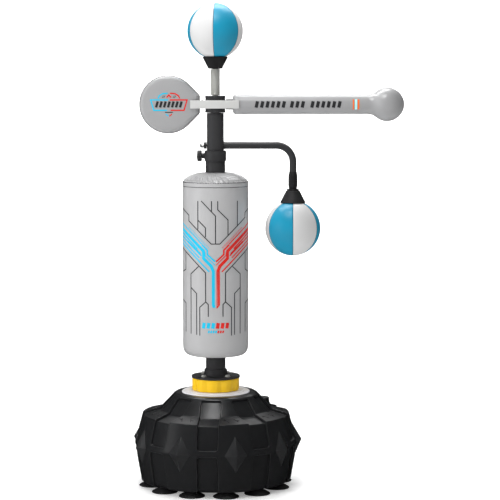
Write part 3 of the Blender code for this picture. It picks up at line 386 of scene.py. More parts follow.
def resampled(line, places, run=None):
    """Points of a 2-D line at lengths along it."""
    run = run_lengths(line) if run is None else run
    return np.stack([np.interp(places, run, line[:, axis]) for axis in (0, 1)], axis=1)


def refined(line, pitch):
    """The line with extra points at an even pitch, for a shape that bends."""
    line = np.array(line)
    run = run_lengths(line)
    return resampled(line, spaced([*run, *np.arange(0, run[-1], pitch)]))


def around_axis(radius, height, angles):
    """Points about Z at radii, heights and angles that are spread over one grid."""
    radius, height, angles = np.broadcast_arrays(radius, height, angles)
    return np.stack([radius * np.sin(angles), -radius * np.cos(angles), height], axis=-1)


def turned_points(profile, sides):
    """Points of a profile of (radius, height) turned about Z, as rows x sides."""
    profile = np.array(profile)
    return around_axis(profile[:, :1], profile[:, 1:], np.arange(sides) * 2 * math.pi / sides)


def turned(profile, radii=0.0006, sides=64, steps=3, matrix=None):
    """Lathe shape with its corners rounded."""
    mesh = grid_mesh(turned_points(fillet(profile, radii, steps), sides))
    if matrix:
        mesh.transform(matrix)
    return mesh


def round_end(place, outwards, ring, radius):
    """Two rows that round a cord's end off: a smaller ring and then a point."""
    smaller = place + 0.35 * radius * outwards + 0.75 * radius * ring
    tip = np.repeat([place + 0.6 * radius * outwards], len(ring), axis=0)
    return smaller, tip


def swept(path, radius, sides=10, closed=False):
    """Round cord or tube along a path, with rounded ends."""
    path = np.array([tuple(point) for point in path], float)
    if closed:
        ahead, behind = np.roll(path, -1, axis=0), np.roll(path, 1, axis=0)
    else:
        ahead = np.vstack([path[1:], path[-1:]])
        behind = np.vstack([path[:1], path[:-1]])
    along = ahead - behind
    along /= np.linalg.norm(along, axis=1)[:, None]
    side = np.cross(along[0], (0, 0, 1) if abs(along[0][2]) < 0.9 else (1, 0, 0))
    angles = np.arange(sides) * 2 * math.pi / sides
    rings = []
    for place, axis in zip(path, along):
        side = side - axis * (side @ axis)
        side /= np.linalg.norm(side)
        other = np.cross(axis, side)
        rings.append(np.outer(np.cos(angles), side) + np.outer(np.sin(angles), other))
    rows = [place + radius * ring for place, ring in zip(path, rings)]
    if closed:
        rows.append(rows[0])
    else:
        start_ring, start_tip = round_end(path[0], -along[0], rings[0], radius)
        end_ring, end_tip = round_end(path[-1], along[-1], rings[-1], radius)
        rows = [start_tip, start_ring, *rows, end_ring, end_tip]
    return grid_mesh(np.array(rows))


def joined(meshes):
    work = bmesh.new()
    for mesh in meshes:
        work.from_mesh(mesh)
    made = bpy.data.meshes.new("shape")
    work.to_mesh(made)
    work.free()
    return made


def block(low, high, rounding):
    """Box with all its edges rounded."""
    low, high = Vector(low), Vector(high)
    mesh = bpy.data.meshes.new("shape")
    place = Matrix.Translation((low + high) / 2) @ Matrix.Diagonal((*(high - low), 1.0))
    edited(mesh, lambda work: bmesh.ops.create_cube(work, size=1.0, matrix=place))
    return bevelled(mesh, rounding, 3)


def hex_head(radius, height, matrix):
    """Bolt head with chamfered corners, standing on a washer."""
    washer = turned(rod(radius * 1.14, 0, 0.0014), 0.0004, 40)
    rows = [(0.0, height), (radius * 0.8, height), (radius, height - 0.0011), (radius, 0.001),
            (0.0, 0.001)]
    made = joined([washer, bevelled(grid_mesh(turned_points(rows, 6)), 0.0004, 2)])
    made.transform(matrix)
    return made


SLOTS = {subpart["material_slot"] for subpart in frame["record"]["subparts"]}
# Angles in degrees above which an edge stays sharp: metal and chamfers, the rest, and padding
HARD, PLAIN, SOFT = 24, 32, 60


def add_piece(name, mesh, finish, body, *nodes, slot=None, crisp=PLAIN):
    """Show a mesh, or a list of meshes joined, as a piece that stands for the CAD nodes.

    finish is one material's name or several. slot is not used.
    """
    if isinstance(mesh, list):
        mesh = joined(mesh)
    mesh.name = name
    piece = bpy.data.objects.new(name, mesh)
    bpy.context.scene.collection.objects.link(piece)
    finishes = finish if isinstance(finish, tuple) else (finish,)
    for material in finishes:
        mesh.materials.append(MATERIALS[material])
    mesh.shade_smooth()
    mesh.set_sharp_from_angle(angle=math.radians(crisp))
    if body:
        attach(piece, body)
    if nodes:
        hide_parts(*nodes)
    slot or (finishes[0] if finishes[0] in SLOTS else "grey_leather")
    return piece


def add_bending(name, mesh, finish, node, crisp=PLAIN):
    """A piece on no body: its CAD node is hidden and its place is baked into the mesh."""
    piece = add_piece(name, mesh, finish, None, node, crisp=crisp)
    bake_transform(piece)


SMOOTHING = 12


def inflated(points, pinned, pressure, most, frames=14):
    """Blow up a grid of cloth with its pinned points held, and return the moved points.

    No point ends further than `most` from where it started.
    """
    rows, columns = points.shape[:2]
    mesh = bpy.data.meshes.new("cloth")
    mesh.from_pydata(points.reshape(-1, 3).tolist(), [], grid_faces(rows, columns, True))
    cloth = bpy.data.objects.new("cloth", mesh)
    bpy.context.scene.collection.objects.link(cloth)
    pins = cloth.vertex_groups.new(name="pins")
    pins.add([int(index) for index in np.flatnonzero(pinned.reshape(-1))], 1.0, "REPLACE")
    settings = cloth.modifiers.new("cloth", "CLOTH").settings
    settings.quality = 4
    settings.mass = 0.25
    settings.tension_stiffness = settings.compression_stiffness = 12
    settings.shear_stiffness = 8
    settings.bending_stiffness = 0.6
    settings.use_pressure = True
    settings.uniform_pressure_force = pressure
    settings.vertex_group_mass = "pins"
    settings.effector_weights.gravity = 0
    scene = bpy.context.scene
    for moment in range(1, frames + 1):
        scene.frame_set(moment)
    blown = cloth.evaluated_get(bpy.context.evaluated_depsgraph_get()).to_mesh()
    moved = np.zeros(rows * columns * 3)
    blown.vertices.foreach_get("co", moved)
    bpy.data.objects.remove(cloth, do_unlink=True)
    scene.frame_set(1)
    shift = moved.reshape(points.shape) - points
    length = np.linalg.norm(shift, axis=2, keepdims=True)
    shift = shift * np.minimum(1.0, most / np.maximum(length, 1e-9))
    for _ in range(SMOOTHING):
        around = np.roll(shift, 1, axis=1) + np.roll(shift, -1, axis=1)
        around[1:] += shift[:-1]
        around[:-1] += shift[1:]
        around[0] += shift[0]
        around[-1] += shift[-1]
        shift = np.where(pinned[..., None], shift, around / 4)
    return points + shift


def tree_of(mesh):
    return BVHTree.FromPolygons([v.co for v in mesh.vertices], [p.vertices for p in mesh.polygons])


# ---- prints and stitches

def ribbon(path, width, place, lift=0.0004, step=0.004):
    """Thin printed strip along a 2-D path, laid on a surface by place(u, v, lift)."""
    path = [Vector(point) for point in path]
    edges = []
    for index, point in enumerate(path):
        before = (point - path[index - 1]).normalized() if index else None
        after = (path[index + 1] - point).normalized() if index + 1 < len(path) else None
        ahead = (before or after) + (after or before)
        across = Vector((-ahead.y, ahead.x)).normalized()
        stretch = across.dot(Vector((-(after or before).y, (after or before).x)))
        reach = across * width / 2 / max(stretch, 0.5)
        edges.append((point + reach, point - reach))
    rows = []
    for (left, right), (next_left, next_right) in zip(edges, edges[1:]):
        count = max(1, round((next_left - left).length / step))
        for piece in range(count):
            rows.append((left.lerp(next_left, piece / count), right.lerp(next_right, piece / count)))
    rows.append(edges[-1])
    points = np.array([
        [place(*left, -lift), place(*left, lift), place(*right, lift), place(*right, -lift)]
        for left, right in rows
    ])
    return grid_mesh(np.concatenate([points, points[:, :1]], axis=1), wrap=False)


def scattered(path, pitch):
    """Points at an even pitch along a 3-D path, each with the direction of the path there."""
    path = [Vector(point) for point in path]
    found, travelled, due = [], 0.0, pitch / 2
    for start, end in zip(path, path[1:]):
        span = (end - start).length
        while due < travelled + span:
            found.append((start.lerp(end, (due - travelled) / span), (end - start).normalized()))
            due += pitch
        travelled += span
    return found


def stitch(start, end, radius):
    return swept([start, end], radius, 6)


def sewn(path, pitch, half, radius):
    """Row of short threads along a path."""
    return [stitch(spot - way * half, spot + way * half, radius)
            for spot, way in scattered(path, pitch)]


# ---- weighted tank

TANK_OUTER = [
    (0.0, 0.306), (0.1225, 0.306), (0.1225, 0.314), (0.142, 0.313), (0.15, 0.308), (0.2, 0.254),
    (0.262, 0.238), (0.29, 0.135), (0.285, 0.09), (0.27, 0.004), (0.262, 0.0), (0.176, 0.0),
    (0.0, 0.0),
]
TANK_ROUNDING = [0, 0.001, 0.002, 0.004, 0.004, 0.006, 0.0025, 0.03, 0.03, 0.003, 0.003, 0, 0]
SEAT_INDEX, CONE_TOP_INDEX, SHELF_INDEX, FOOT_INDEX = 1, 4, 6, 10
SIDE_RADIUS, SIDE_TOP = 0.255, 0.24      # the tank's side is further out and lower than this
CREST_GAP = 0.004      # from the cone's top to the grooves
GROOVE_HALF, GROOVE_DEPTH, GROOVE_WALL, GROOVE_CORNER = 0.037, 0.008, 0.0022, 0.01
BAND_LOW, BAND_HIGH = 0.131, 0.15
ROW_PITCH, FINE_ROW_PITCH, FINE_REACH = 0.007, 0.0009, 0.01
# Distances from a groove's middle at which its floor and walls get columns of points
WALL_COLUMNS = [0.0265, 0.0285, 0.0305, 0.0322, 0.0334, 0.0342, 0.035, 0.0356, 0.0362, 0.0367,
                0.0371, 0.0385, 0.0405]
FLOOR_COLUMNS = [-0.013, 0.0, 0.013]
FAR = 1.0      # further than any groove reaches
WIDEST, WIDEST_RADIUS, DIAMOND_TIP = 0.135, 0.29, 0.31
FILLER_LOBE, FILLER_CIRCLE, FILLER_HEIGHT = 4, 0.232, 0.255
CUPS, CUP_CIRCLE, FIRST_CUP = 12, 0.2305, 8.8


def inset_profile(points, depth):
    """Profile moved inwards by a depth, corner by corner; its two ends stay."""
    moved = [points[0]]
    for before, corner, after in zip(points, points[1:], points[2:]):
        normals = []
        for start, end in ((before, corner), (corner, after)):
            along = (Vector(end) - Vector(start)).normalized()
            normals.append(Vector((-along.y, along.x)))
        middle = (normals[0] + normals[1]).normalized()
        moved.append(tuple(Vector(corner) - middle * depth / middle.dot(normals[0])))
    moved.append(points[-1])
    return moved


def bump(value, middle, width):
    return np.exp(-((value - middle) / width) ** 2)


def smoothstep(value):
    value = np.clip(value, 0, 1)
    return value * value * (3 - 2 * value)


def rounded_box(across, along, half_width, middle, half_length, corner):
    """Signed distance to a rounded rectangle, negative inside."""
    x = np.abs(across) - (half_width - corner)
    y = np.abs(along - middle) - (half_length - corner)
    return np.hypot(np.maximum(x, 0), np.maximum(y, 0)) + np.minimum(np.maximum(x, y), 0) - corner


def tank_mesh():
    """Turned body with nine pairs of moulded grooves, one above and one below the belt."""
    inset = inset_profile(TANK_OUTER, GROOVE_DEPTH)
    inner = [*TANK_OUTER[:CONE_TOP_INDEX], *inset[CONE_TOP_INDEX:FOOT_INDEX],
             (TANK_OUTER[FOOT_INDEX][0] - GROOVE_DEPTH, 0.0), *TANK_OUTER[FOOT_INDEX + 1:]]
    outer_line = np.array(fillet(TANK_OUTER, TANK_ROUNDING))
    inner_line = np.array(fillet(inner, TANK_ROUNDING))
    run = run_lengths(outer_line)
    side = (outer_line[:, 0] > SIDE_RADIUS) & (outer_line[:, 1] < SIDE_TOP)
    belt_low, belt_high = np.interp([-BAND_LOW, -BAND_HIGH], -outer_line[side, 1], run[side])
    cone_top = np.argmin(np.linalg.norm(outer_line - TANK_OUTER[CONE_TOP_INDEX], axis=1))
    crest = run[cone_top] + CREST_GAP
    rows = [*run, *np.arange(0, run[-1], ROW_PITCH)]
    for end in (crest, belt_high, belt_low):
        rows += [*np.arange(end - FINE_REACH, end + FINE_REACH, FINE_ROW_PITCH)]
    rows = spaced(rows)
    outer, inner = resampled(outer_line, rows, run), resampled(inner_line, rows, run)

    across = np.array([-value for value in reversed(WALL_COLUMNS)] + FLOOR_COLUMNS + WALL_COLUMNS)
    turn = np.degrees(np.arcsin(across[None] / np.maximum(outer[:, :1], TANK_OUTER[SEAT_INDEX][0])))
    shares = np.linspace(0, 1, 8)[1:-1]
    lobe = turn[:, -1:] + (SECTOR + turn[:, :1] - turn[:, -1:]) * shares[None]
    columns = np.concatenate([turn, lobe], axis=1)
    headings = np.concatenate(
        [columns + GROOVE_HEADING + SECTOR * index for index in range(SECTORS)], axis=1)

    lateral = np.tile(np.concatenate([across, np.full(len(shares), FAR)]), SECTORS)[None]
    run_down = rows[:, None]
    upper = rounded_box(lateral, run_down, GROOVE_HALF, (crest + belt_high) / 2, (belt_high - crest) / 2,
                        GROOVE_CORNER)
    lower = rounded_box(lateral, run_down, GROOVE_HALF, belt_low + FAR, FAR, GROOVE_CORNER)
    sunk = smoothstep(-np.minimum(upper, lower) / GROOVE_WALL)[:, :, None]
    place = outer[:, None] * (1 - sunk) + inner[:, None] * sunk
    return grid_mesh(around_axis(place[..., 0], place[..., 1], np.radians(headings)))


def diamond_mesh(heading):
    """Flat four-sided pyramid on a lobe's belt, with its ridges slightly rounded."""
    half_width, half_height = 0.0415, 0.064
    top_radius, bottom_radius, inside_radius = 0.2726, 0.2817, 0.25
    side = math.sqrt(WIDEST_RADIUS ** 2 - half_width ** 2)
    corners = [
        (DIAMOND_TIP, 0, WIDEST), (inside_radius, 0, WIDEST),
        (top_radius, 0, WIDEST + half_height), (bottom_radius, 0, WIDEST - half_height),
        (side, half_width, WIDEST), (side, -half_width, WIDEST),
    ]
    mesh = bpy.data.meshes.new("shape")

    def edit(work):
        for corner in corners:
            work.verts.new(corner)
        bmesh.ops.convex_hull(work, input=work.verts)
    bevelled(edited(mesh, edit), 0.0012, 2)
    mesh.transform(rotation(heading - 90, "Z"))
    return mesh


def shelf_height(radius):
    (near, high), (far, low) = TANK_OUTER[SHELF_INDEX - 1], TANK_OUTER[SHELF_INDEX]
    return high + (low - high) * (radius - near) / (far - near)


def shelf_marks(heading):
    """Two short raised strokes on a lobe's shelf, each with a small branch."""
    # Each stroke's ends: the radius and the length across the lobe's middle
    strokes = [[(0.219, -0.024), (0.241, -0.014)], [(0.219, 0.01), (0.241, 0.02)],
               [(0.226, -0.03), (0.228, -0.02)], [(0.231, 0.016), (0.233, 0.026)]]
    radius_of_stroke, sunk = 0.0016, 0.0003
    made = []
    for stroke in strokes:
        path = []
        for radius, across in stroke:
            turn = heading + math.degrees(across / radius)
            path.append(heading_point(radius, turn, shelf_height(radius) - sunk))
        made.append(swept(path, radius_of_stroke, 8))
    return joined(made)


def fluted(profile, flutes, depth, fluted_radius, matrix, sides_each=8, rounding=0.0006):
    """Turned shape whose outermost band has shallow flutes."""
    points = turned_points(fillet(profile, rounding, 3), flutes * sides_each)
    radius = np.linalg.norm(points[..., :2], axis=2)
    phase = np.arange(flutes * sides_each) * 2 * math.pi / sides_each
    dip = depth * (0.5 - 0.5 * np.cos(phase)) ** 2
    share = np.clip((radius - fluted_radius) / 0.002, 0, 1)
    scale = 1 - share * dip[None] / np.maximum(radius, 0.001)
    points[..., :2] *= scale[..., None]
    mesh = grid_mesh(points)
    mesh.transform(matrix)
    return mesh


def add_tank():
    add_piece("tank_shell", tank_mesh(), "tank", "base", "base_tank", crisp=50)
    for number, heading in enumerate(LOBE_HEADINGS, start=1):
        diamond = diamond_mesh(heading)
        add_piece(f"tank_diamond_{number}", diamond, "tank_boss", "base", slot="tank", crisp=HARD)
        if number != FILLER_LOBE:
            add_piece(f"shelf_mark_{number}", shelf_marks(heading), "black_rubber", "base", slot="tank")

    heading = LOBE_HEADINGS[FILLER_LOBE - 1]
    place = Matrix.Translation(heading_point(FILLER_CIRCLE, heading, FILLER_HEIGHT))
    neck = [(0.0205, -0.0002), (0.0298, -0.0002), (0.03, -0.008), (0.0335, -0.0145),
            (0.0205, -0.02), (0.0205, -0.0002)]
    add_piece("filler_neck", turned(neck, 0.0008, matrix=place), "tank", "base")
    gasket = turned(pipe(0.02, 0.028, 0.0003, 0.0018), 0.0004, matrix=place)
    add_piece("filler_gasket", gasket, "black_rubber", "cap_seal", "cap_seal")
    lid = [(0.0, 0.0082), (0.018, 0.0082), (0.0195, 0.0091), (0.027, 0.0091), (0.029, 0.0071),
           (0.029, 0.0021), (0.0196, 0.0021), (0.0196, -0.011), (0.0, -0.011)]
    cap = fluted(lid, 30, 0.0009, 0.0265, place)
    add_piece("filler_lid", cap, "black_plastic", "filler_cap", "filler_cap")

    cup = [(0.0, -0.0004), (0.019, -0.0004), (0.0215, -0.003), (0.03, -0.0085), (0.033, -0.0092),
           (0.04, -0.0135), (0.0455, -0.0165), (0.046, -0.0186), (0.045, -0.02), (0.0425, -0.0199),
           (0.038, -0.0165), (0.024, -0.0125), (0.0, -0.0105)]
    for number in range(1, CUPS + 1):
        spot = heading_point(CUP_CIRCLE, FIRST_CUP + 360 / CUPS * (number - 1))
        mesh = turned(cup, 0.0012, 72, matrix=Matrix.Translation(spot))
        add_piece(f"rubber_cup_{number:02d}", mesh, "black_rubber", "base", f"suction_cup_{number:02d}")


# ---- flexible foot and post

def side_place(start, height):
    """Turns a lathe shape so that its axis points to the left, out of the mast."""
    return Matrix.Translation((-start, 0, height)) @ rotation(-90, "Y")


def drilled(mesh):
    """The mesh with the clamp screw's hole cut through its left wall."""
    drill = turned(rod(SCREW_HOLE_RADIUS, 0.02, 0.06), 0, 40, matrix=side_place(0, KNOB_HEIGHT))
    body, tool = (bpy.data.objects.new(data.name, data) for data in (mesh, drill))
    for item in (body, tool):
        bpy.context.scene.collection.objects.link(item)
    cut = body.modifiers.new("cut", "BOOLEAN")
    cut.operation, cut.solver, cut.object = "DIFFERENCE", "EXACT", tool
    made = bpy.data.meshes.new_from_object(body.evaluated_get(bpy.context.evaluated_depsgraph_get()))
    for item in (body, tool):
        bpy.data.objects.remove(item, do_unlink=True)
    return made


DAMPER_LOBES, DAMPER_SIDES, DAMPER_RADIUS, DAMPER_BORE = 10, 12, 0.085, 0.03
DAMPER_BOTTOM, DAMPER_TOP = 0.3203, 0.3645
DAMPER_DIP, DAMPER_VALLEY, DAMPER_ROUNDING = 0.004, 13, 0.004
DAMPER_DIP_FROM, DAMPER_DIP_FADE = 0.06, 0.02
FLANGE_BOLTS, FLANGE_CIRCLE, FLANGE_TOP, FIRST_BOLT = 4, 0.06, 0.3717, 45


def add_damper():
    """Flexible ring with shallow lobes, made as two halves that meet at mid height."""
    headings = np.arange(DAMPER_LOBES * DAMPER_SIDES) * 360 / (DAMPER_LOBES * DAMPER_SIDES)
    wave = np.cos(np.radians(DAMPER_LOBES * (headings - DAMPER_VALLEY)))
    for name, low, high, first, second, rounding in (
        ("damper_lower", DAMPER_BOTTOM, SWAY_HEIGHT, "base", "damper", [0, 0, DAMPER_ROUNDING, 0, 0]),
        ("damper_upper", SWAY_HEIGHT, DAMPER_TOP, "damper", "post", [0, DAMPER_ROUNDING, 0, 0, 0]),
    ):
        line = refined(fillet(pipe(DAMPER_BORE, DAMPER_RADIUS, low, high), rounding, 5), 0.004)
        points = turned_points(line, len(headings))
        reach = np.linalg.norm(points[..., :2], axis=2)
        fade = smoothstep((reach - DAMPER_DIP_FROM) / DAMPER_DIP_FADE)
        dip = fade * DAMPER_DIP * (0.5 + 0.5 * wave[None]) ** 2
        points[..., :2] *= (1 - dip / reach)[..., None]
        ring = grid_mesh(points)
        add_bending(name, ring, "damper", "damper_ring")


def add_foot():
    disc = [(0.0, 0.3195), (0.03, 0.3195), (0.03, DISC_TOP), (0.1, DISC_TOP), (0.102, 0.3172),
            (0.1185, 0.317), (0.1215, 0.3145), (0.1215, 0.3063), (0.0, 0.3063)]
    add_piece("centre_disc", turned(disc, 0.0012, 120), "disc", "base", "top_disc")
    add_damper()

    flange = [(0.0353, 0.395), (0.0385, 0.395), (0.0405, 0.392), (0.0415, 0.379), (0.043, 0.3736),
              (0.045, 0.3716), (0.0865, 0.3716), (0.0865, 0.3648), (0.025, 0.3648), (0.025, 0.3706),
              (0.0353, 0.3706), (0.0353, 0.395)]
    add_piece("post_base", turned(flange, 0.001, 96), "black_steel", "post", "post_flange")
    for number in range(1, FLANGE_BOLTS + 1):
        heading = FIRST_BOLT + 360 / FLANGE_BOLTS * (number - 1)
        place = Matrix.Translation(heading_point(FLANGE_CIRCLE, heading, FLANGE_TOP))
        add_piece(f"flange_screw_{number}", hex_head(0.0092, 0.0066, place), "bright_steel", "post",
                  f"flange_bolt_{number}", crisp=HARD)

    tube = drilled(turned(pipe(0.0325, POST_RADIUS, 0.3711, 1.172), 0.0008, 96))
    add_piece("post_tube", tube, "black_steel", "post", "lower_tube")
    collar = drilled(turned(pipe(0.0353, 0.0385, COLLAR_BOTTOM, COLLAR_TOP), 0.0012, 96))
    boss = [(SCREW_HOLE_RADIUS, 0.047), (0.0095, 0.047), (0.0095, 0.041), (0.0125, 0.0362),
            (SCREW_HOLE_RADIUS, 0.0362), (SCREW_HOLE_RADIUS, 0.047)]
    boss_mesh = turned(boss, 0.0006, 40, matrix=side_place(0, KNOB_HEIGHT))
    add_piece("clamp_collar", [collar, boss_mesh], "black_steel", "post", "height_collar")
    bush = turned(pipe(0.0307, 0.037, 1.1733, 1.1748), 0.0004, 96)
    add_piece("mast_bush", bush, "black_plastic", "post")


def add_knob():
    profile = [(0.0, 0.018), (0.011, 0.018), (0.0125, 0.017), (0.017, 0.017), (0.0195, 0.014),
               (0.0195, 0.003), (0.017, 0.0), (0.009, 0.0), (0.008, -0.0004), (0.0057, -0.0004),
               (0.0057, -0.0142), (0.0, -0.0142)]
    handle = fluted(profile, 12, 0.0024, 0.0165, side_place(0.0475, KNOB_HEIGHT), 10, 0.001)
    add_piece("clamp_handle", handle, "black_plastic", "lock_knob", "lock_knob")


# ---- mast, arm and sleeve

def add_mast():
    tube = turned(pipe(0.0275, MAST_RADIUS, 0.8, MAST_TOP), 0.0008, 96)
    add_piece("mast_tube", tube, "black_steel", "mast", "upper_tube")
    spindle = [(0.0, 1.395), (0.009, 1.395), (0.01, 1.3935), (0.01, 1.369), (0.0125, 1.3684),
               (0.0125, 1.3087), (0.0165, 1.3087), (0.0165, MAST_TOP), (0.0272, MAST_TOP - 0.0002),
               (0.0272, 1.2675), (0.0, 1.2675)]
    add_piece("spinner_axle", turned(spindle, 0.0005, 64), "bright_steel", "mast", "spindle")


ARM_START, WELD_RADIUS, WELD_GAP = -0.0235, 0.0016, 0.0006


def add_arm():
    """Bent tube through the mast, with its weld on the right and its nut on the left."""
    bend_x, bend_z = ARM_REACH - ARM_BEND, ARM_HEIGHT - ARM_BEND
    path = [(x, 0, ARM_HEIGHT) for x in (ARM_START, *np.linspace(MAST_RADIUS, bend_x, 12))]
    path += [(bend_x + ARM_BEND * math.sin(angle), 0, bend_z + ARM_BEND * math.cos(angle))
             for angle in np.linspace(0, math.pi / 2, 15)[1:-1]]
    path += [(ARM_REACH, 0, z) for z in np.linspace(bend_z, ARM_END, 6)]
    ring = ARM_RADIUS + WELD_GAP
    weld = []
    for turn in np.linspace(0, 2 * math.pi, 48, endpoint=False):
        aside, rise = ring * math.cos(turn), ring * math.sin(turn)
        weld.append((math.sqrt(MAST_RADIUS ** 2 - aside ** 2) + WELD_GAP, aside, ARM_HEIGHT + rise))
    sideways = side_place(0, ARM_HEIGHT)
    stud = turned(rod(0.005, 0.02, 0.0527), 0.0003, 24, matrix=sideways)
    arm = [swept(path, ARM_RADIUS, 40), swept(weld, WELD_RADIUS, 8, closed=True), stud]
    add_piece("side_arm", arm, "black_steel", "mast", "arm_tube", crisp=40)

    washer = fluted(pipe(0.0053, 0.012, 0.0306, 0.0407), 16, 0.0006, 0.011, sideways)
    add_piece("arm_washer", washer, "black_plastic", "mast", "arm_spacer")
    dome = [(0.0, 0.0557), (0.0035, 0.0553), (0.0062, 0.0538), (0.0078, 0.0513), (0.0082, 0.048),
            (0.0, 0.048)]
    flats = [(0.0, 0.0484), (0.0082, 0.0484), (0.0095, 0.0474), (0.0095, 0.0418), (0.0086, 0.041),
             (0.0, 0.041)]
    nut = joined([turned(dome, 0.0006, 48), grid_mesh(turned_points(flats, 6))])
    nut.transform(sideways)
    add_piece("dome_nut", nut, "nut_steel", "mast", "acorn_nut", slot="bright_steel", crisp=28)


SLEEVE_RADIUS, SLEEVE_STIFF_TO, SLEEVE_END = 0.01625, 1.087, 1.0385


def add_sleeve():
    """Rubber sleeve, made as two halves that meet at its pivot."""
    upper = [(0.0, 1.1), (0.0128, 1.1), (0.0138, 1.096), (0.0156, 1.0885),
             (SLEEVE_RADIUS, 1.085), (SLEEVE_RADIUS, 1.076), (0.0157, 1.0745),
             (SLEEVE_RADIUS, 1.073), (SLEEVE_RADIUS, SLEEVE_PIVOT), (0.0, SLEEVE_PIVOT)]
    lower = [(0.0, SLEEVE_PIVOT), (SLEEVE_RADIUS, SLEEVE_PIVOT), (SLEEVE_RADIUS, 1.0515),
             (0.015, 1.045), (0.0136, SLEEVE_END), (0.0, SLEEVE_END)]
    for name, profile, first, second, start, end in (
        ("sleeve_upper", upper, "mast", "arm_sleeve", SLEEVE_STIFF_TO, SLEEVE_PIVOT),
        ("sleeve_lower", lower, "arm_sleeve", "lower_ball", SLEEVE_PIVOT, SLEEVE_END),
    ):
        mesh = grid_mesh(turned_points(refined(fillet(profile, 0.0006, 3), 0.002), 56))
        mesh.transform(Matrix.Translation((ARM_REACH, 0, 0)))
        add_bending(name, mesh, "black_rubber", "arm_sleeve")


# ---- reflex balls

GORES = 6
GORE = 360 / GORES
BALL_START = BALL_RADIUS - 0.0018
CORD_DEPTH, CORD_RADIUS, POLE_GAP = 0.001, 0.0008, 7
BALL_PRESSURE, BALL_SWELL, BALL_HELD, POLE_HELD = 4.0, 0.0022, 0.0022, 0.12
BALL_GROOVE_DEPTH, BALL_GROOVE_WIDTH = 0.0011, 0.0012


def ball_cup_mesh(ring):
    """Rubber cup under a ball, about the ball's centre, with the neck pointing down."""
    rest = BALL_RADIUS + 0.0006
    dish = [(rest * math.sin(angle), -rest * math.cos(angle))
            for angle in np.linspace(0, math.asin(0.0435 / rest), 9)]
    outside = [(0.045, -0.09), (0.0446, -0.0925), (0.0262, -0.1285), (0.025, -0.132)]
    neck = [(0.0215, -0.1325), (0.0215, -0.139), (0.01, -0.1392)] if ring else [(0.01, -0.132)]
    return turned(dish + outside + neck + [(0.01, -0.15), (0.0, -0.15)], 0.0012, 72)


def ball_mesh(seam_heading):
    """Stuffed ball of gores that are blown up between their seams."""
    near = [0.0, 0.5, 1.0, 1.8, 3.2, 6.0, 11.0, 18.0, 25.0]
    gore = np.array([*near, GORE / 2, *(GORE - turn for turn in reversed(near[1:]))])
    angles = np.radians([seam_heading + GORE * index + turn for index in range(GORES) for turn in gore])
    polar = np.linspace(0, math.pi, 61)[:, None]
    points = BALL_START * around_axis(np.sin(polar), np.cos(polar), angles)
    to_seam = np.radians(np.tile(np.minimum(gore, GORE - gore), GORES)) * BALL_START * np.sin(polar)
    pinned = (to_seam < BALL_HELD) | (np.sin(polar) < POLE_HELD)
    blown = inflated(points, pinned, BALL_PRESSURE, BALL_SWELL)
    reach = np.linalg.norm(blown, axis=2)
    groove = BALL_GROOVE_DEPTH * bump(to_seam, 0, BALL_GROOVE_WIDTH) * smoothstep(np.sin(polar) / 0.15)
    scale = np.minimum(1.0, (BALL_RADIUS - groove) / reach) * (1 - groove / BALL_START)
    return grid_mesh(blown * scale[..., None])


def add_ball(name, centre, seam_heading, first_blue, body):
    place = Matrix.Translation(centre)
    mesh = ball_mesh(seam_heading)
    for face in mesh.polygons:
        turn = math.degrees(math.atan2(face.center.x, -face.center.y)) - seam_heading
        face.material_index = (int(turn % 360 // GORE) + first_blue) % 2
    mesh.transform(place)
    ball = add_piece(name, mesh, ("ball_leather", "white_leather"), body, body, crisp=SOFT)

    cords = []
    for index in range(GORES):
        heading = seam_heading + GORE * index
        path = [heading_point(math.sin(turn), heading, math.cos(turn)) * (BALL_START - CORD_DEPTH)
                for turn in np.radians(np.linspace(POLE_GAP, 180 - POLE_GAP, 60))]
        cords.append(swept(path, CORD_RADIUS, 6))
    seams = joined(cords)
    seams.transform(place)
    add_piece(name + "_seams", seams, "thread", body, slot="black_rubber")


def add_balls():
    upright = Matrix.Translation(TOP_BALL)
    upside_down = Matrix.Translation(LOWER_BALL) @ rotation(180, "X")
    for name, centre, seam_heading, first_blue, body, cup, node, place in (
        ("reflex_ball_high", TOP_BALL, -4.5, 0, "top_ball",
         "ball_cup_high", "top_cone", upright),
        ("reflex_ball_low", LOWER_BALL, -1.8, 1, "lower_ball",
         "ball_cup_low", "lower_cone", upside_down),
    ):
        add_ball(name, centre, seam_heading, first_blue, body)
        mesh = ball_cup_mesh(ring=node == "lower_cone")
        mesh.transform(place)
        add_piece(cup, mesh, "black_rubber", body, node)


WIRE_RADIUS, COIL_RADIUS, COIL_TURNS = 0.0015, 0.0153, 31
COIL_BOTTOM, COIL_TOP = 1.3704, 1.4614
SPRING_FOOT, SPRING_HEAD = 1.3688, 1.463


def add_spring():
    """Close-wound spring, cut where its two sprung hinges meet."""
    for name, first, second, start, end, low, high in (
        ("coil_lower", "mast", "top_spring", 0.0, 0.5, SPRING_FOOT, SPRING_PIVOT),
        ("coil_upper", "top_spring", "top_ball", 0.5, 1.0, SPRING_PIVOT, SPRING_HEAD),
    ):
        path = []
        for share in np.linspace(start, end, COIL_TURNS * 12):
            angle = 2 * math.pi * COIL_TURNS * share
            height = COIL_BOTTOM + (COIL_TOP - COIL_BOTTOM) * share
            path.append((COIL_RADIUS * math.cos(angle), COIL_RADIUS * math.sin(angle), height))
        add_bending(name, swept(path, WIRE_RADIUS, 8), "bright_steel", "top_spring",
                    crisp=SOFT)


# ---- spinner

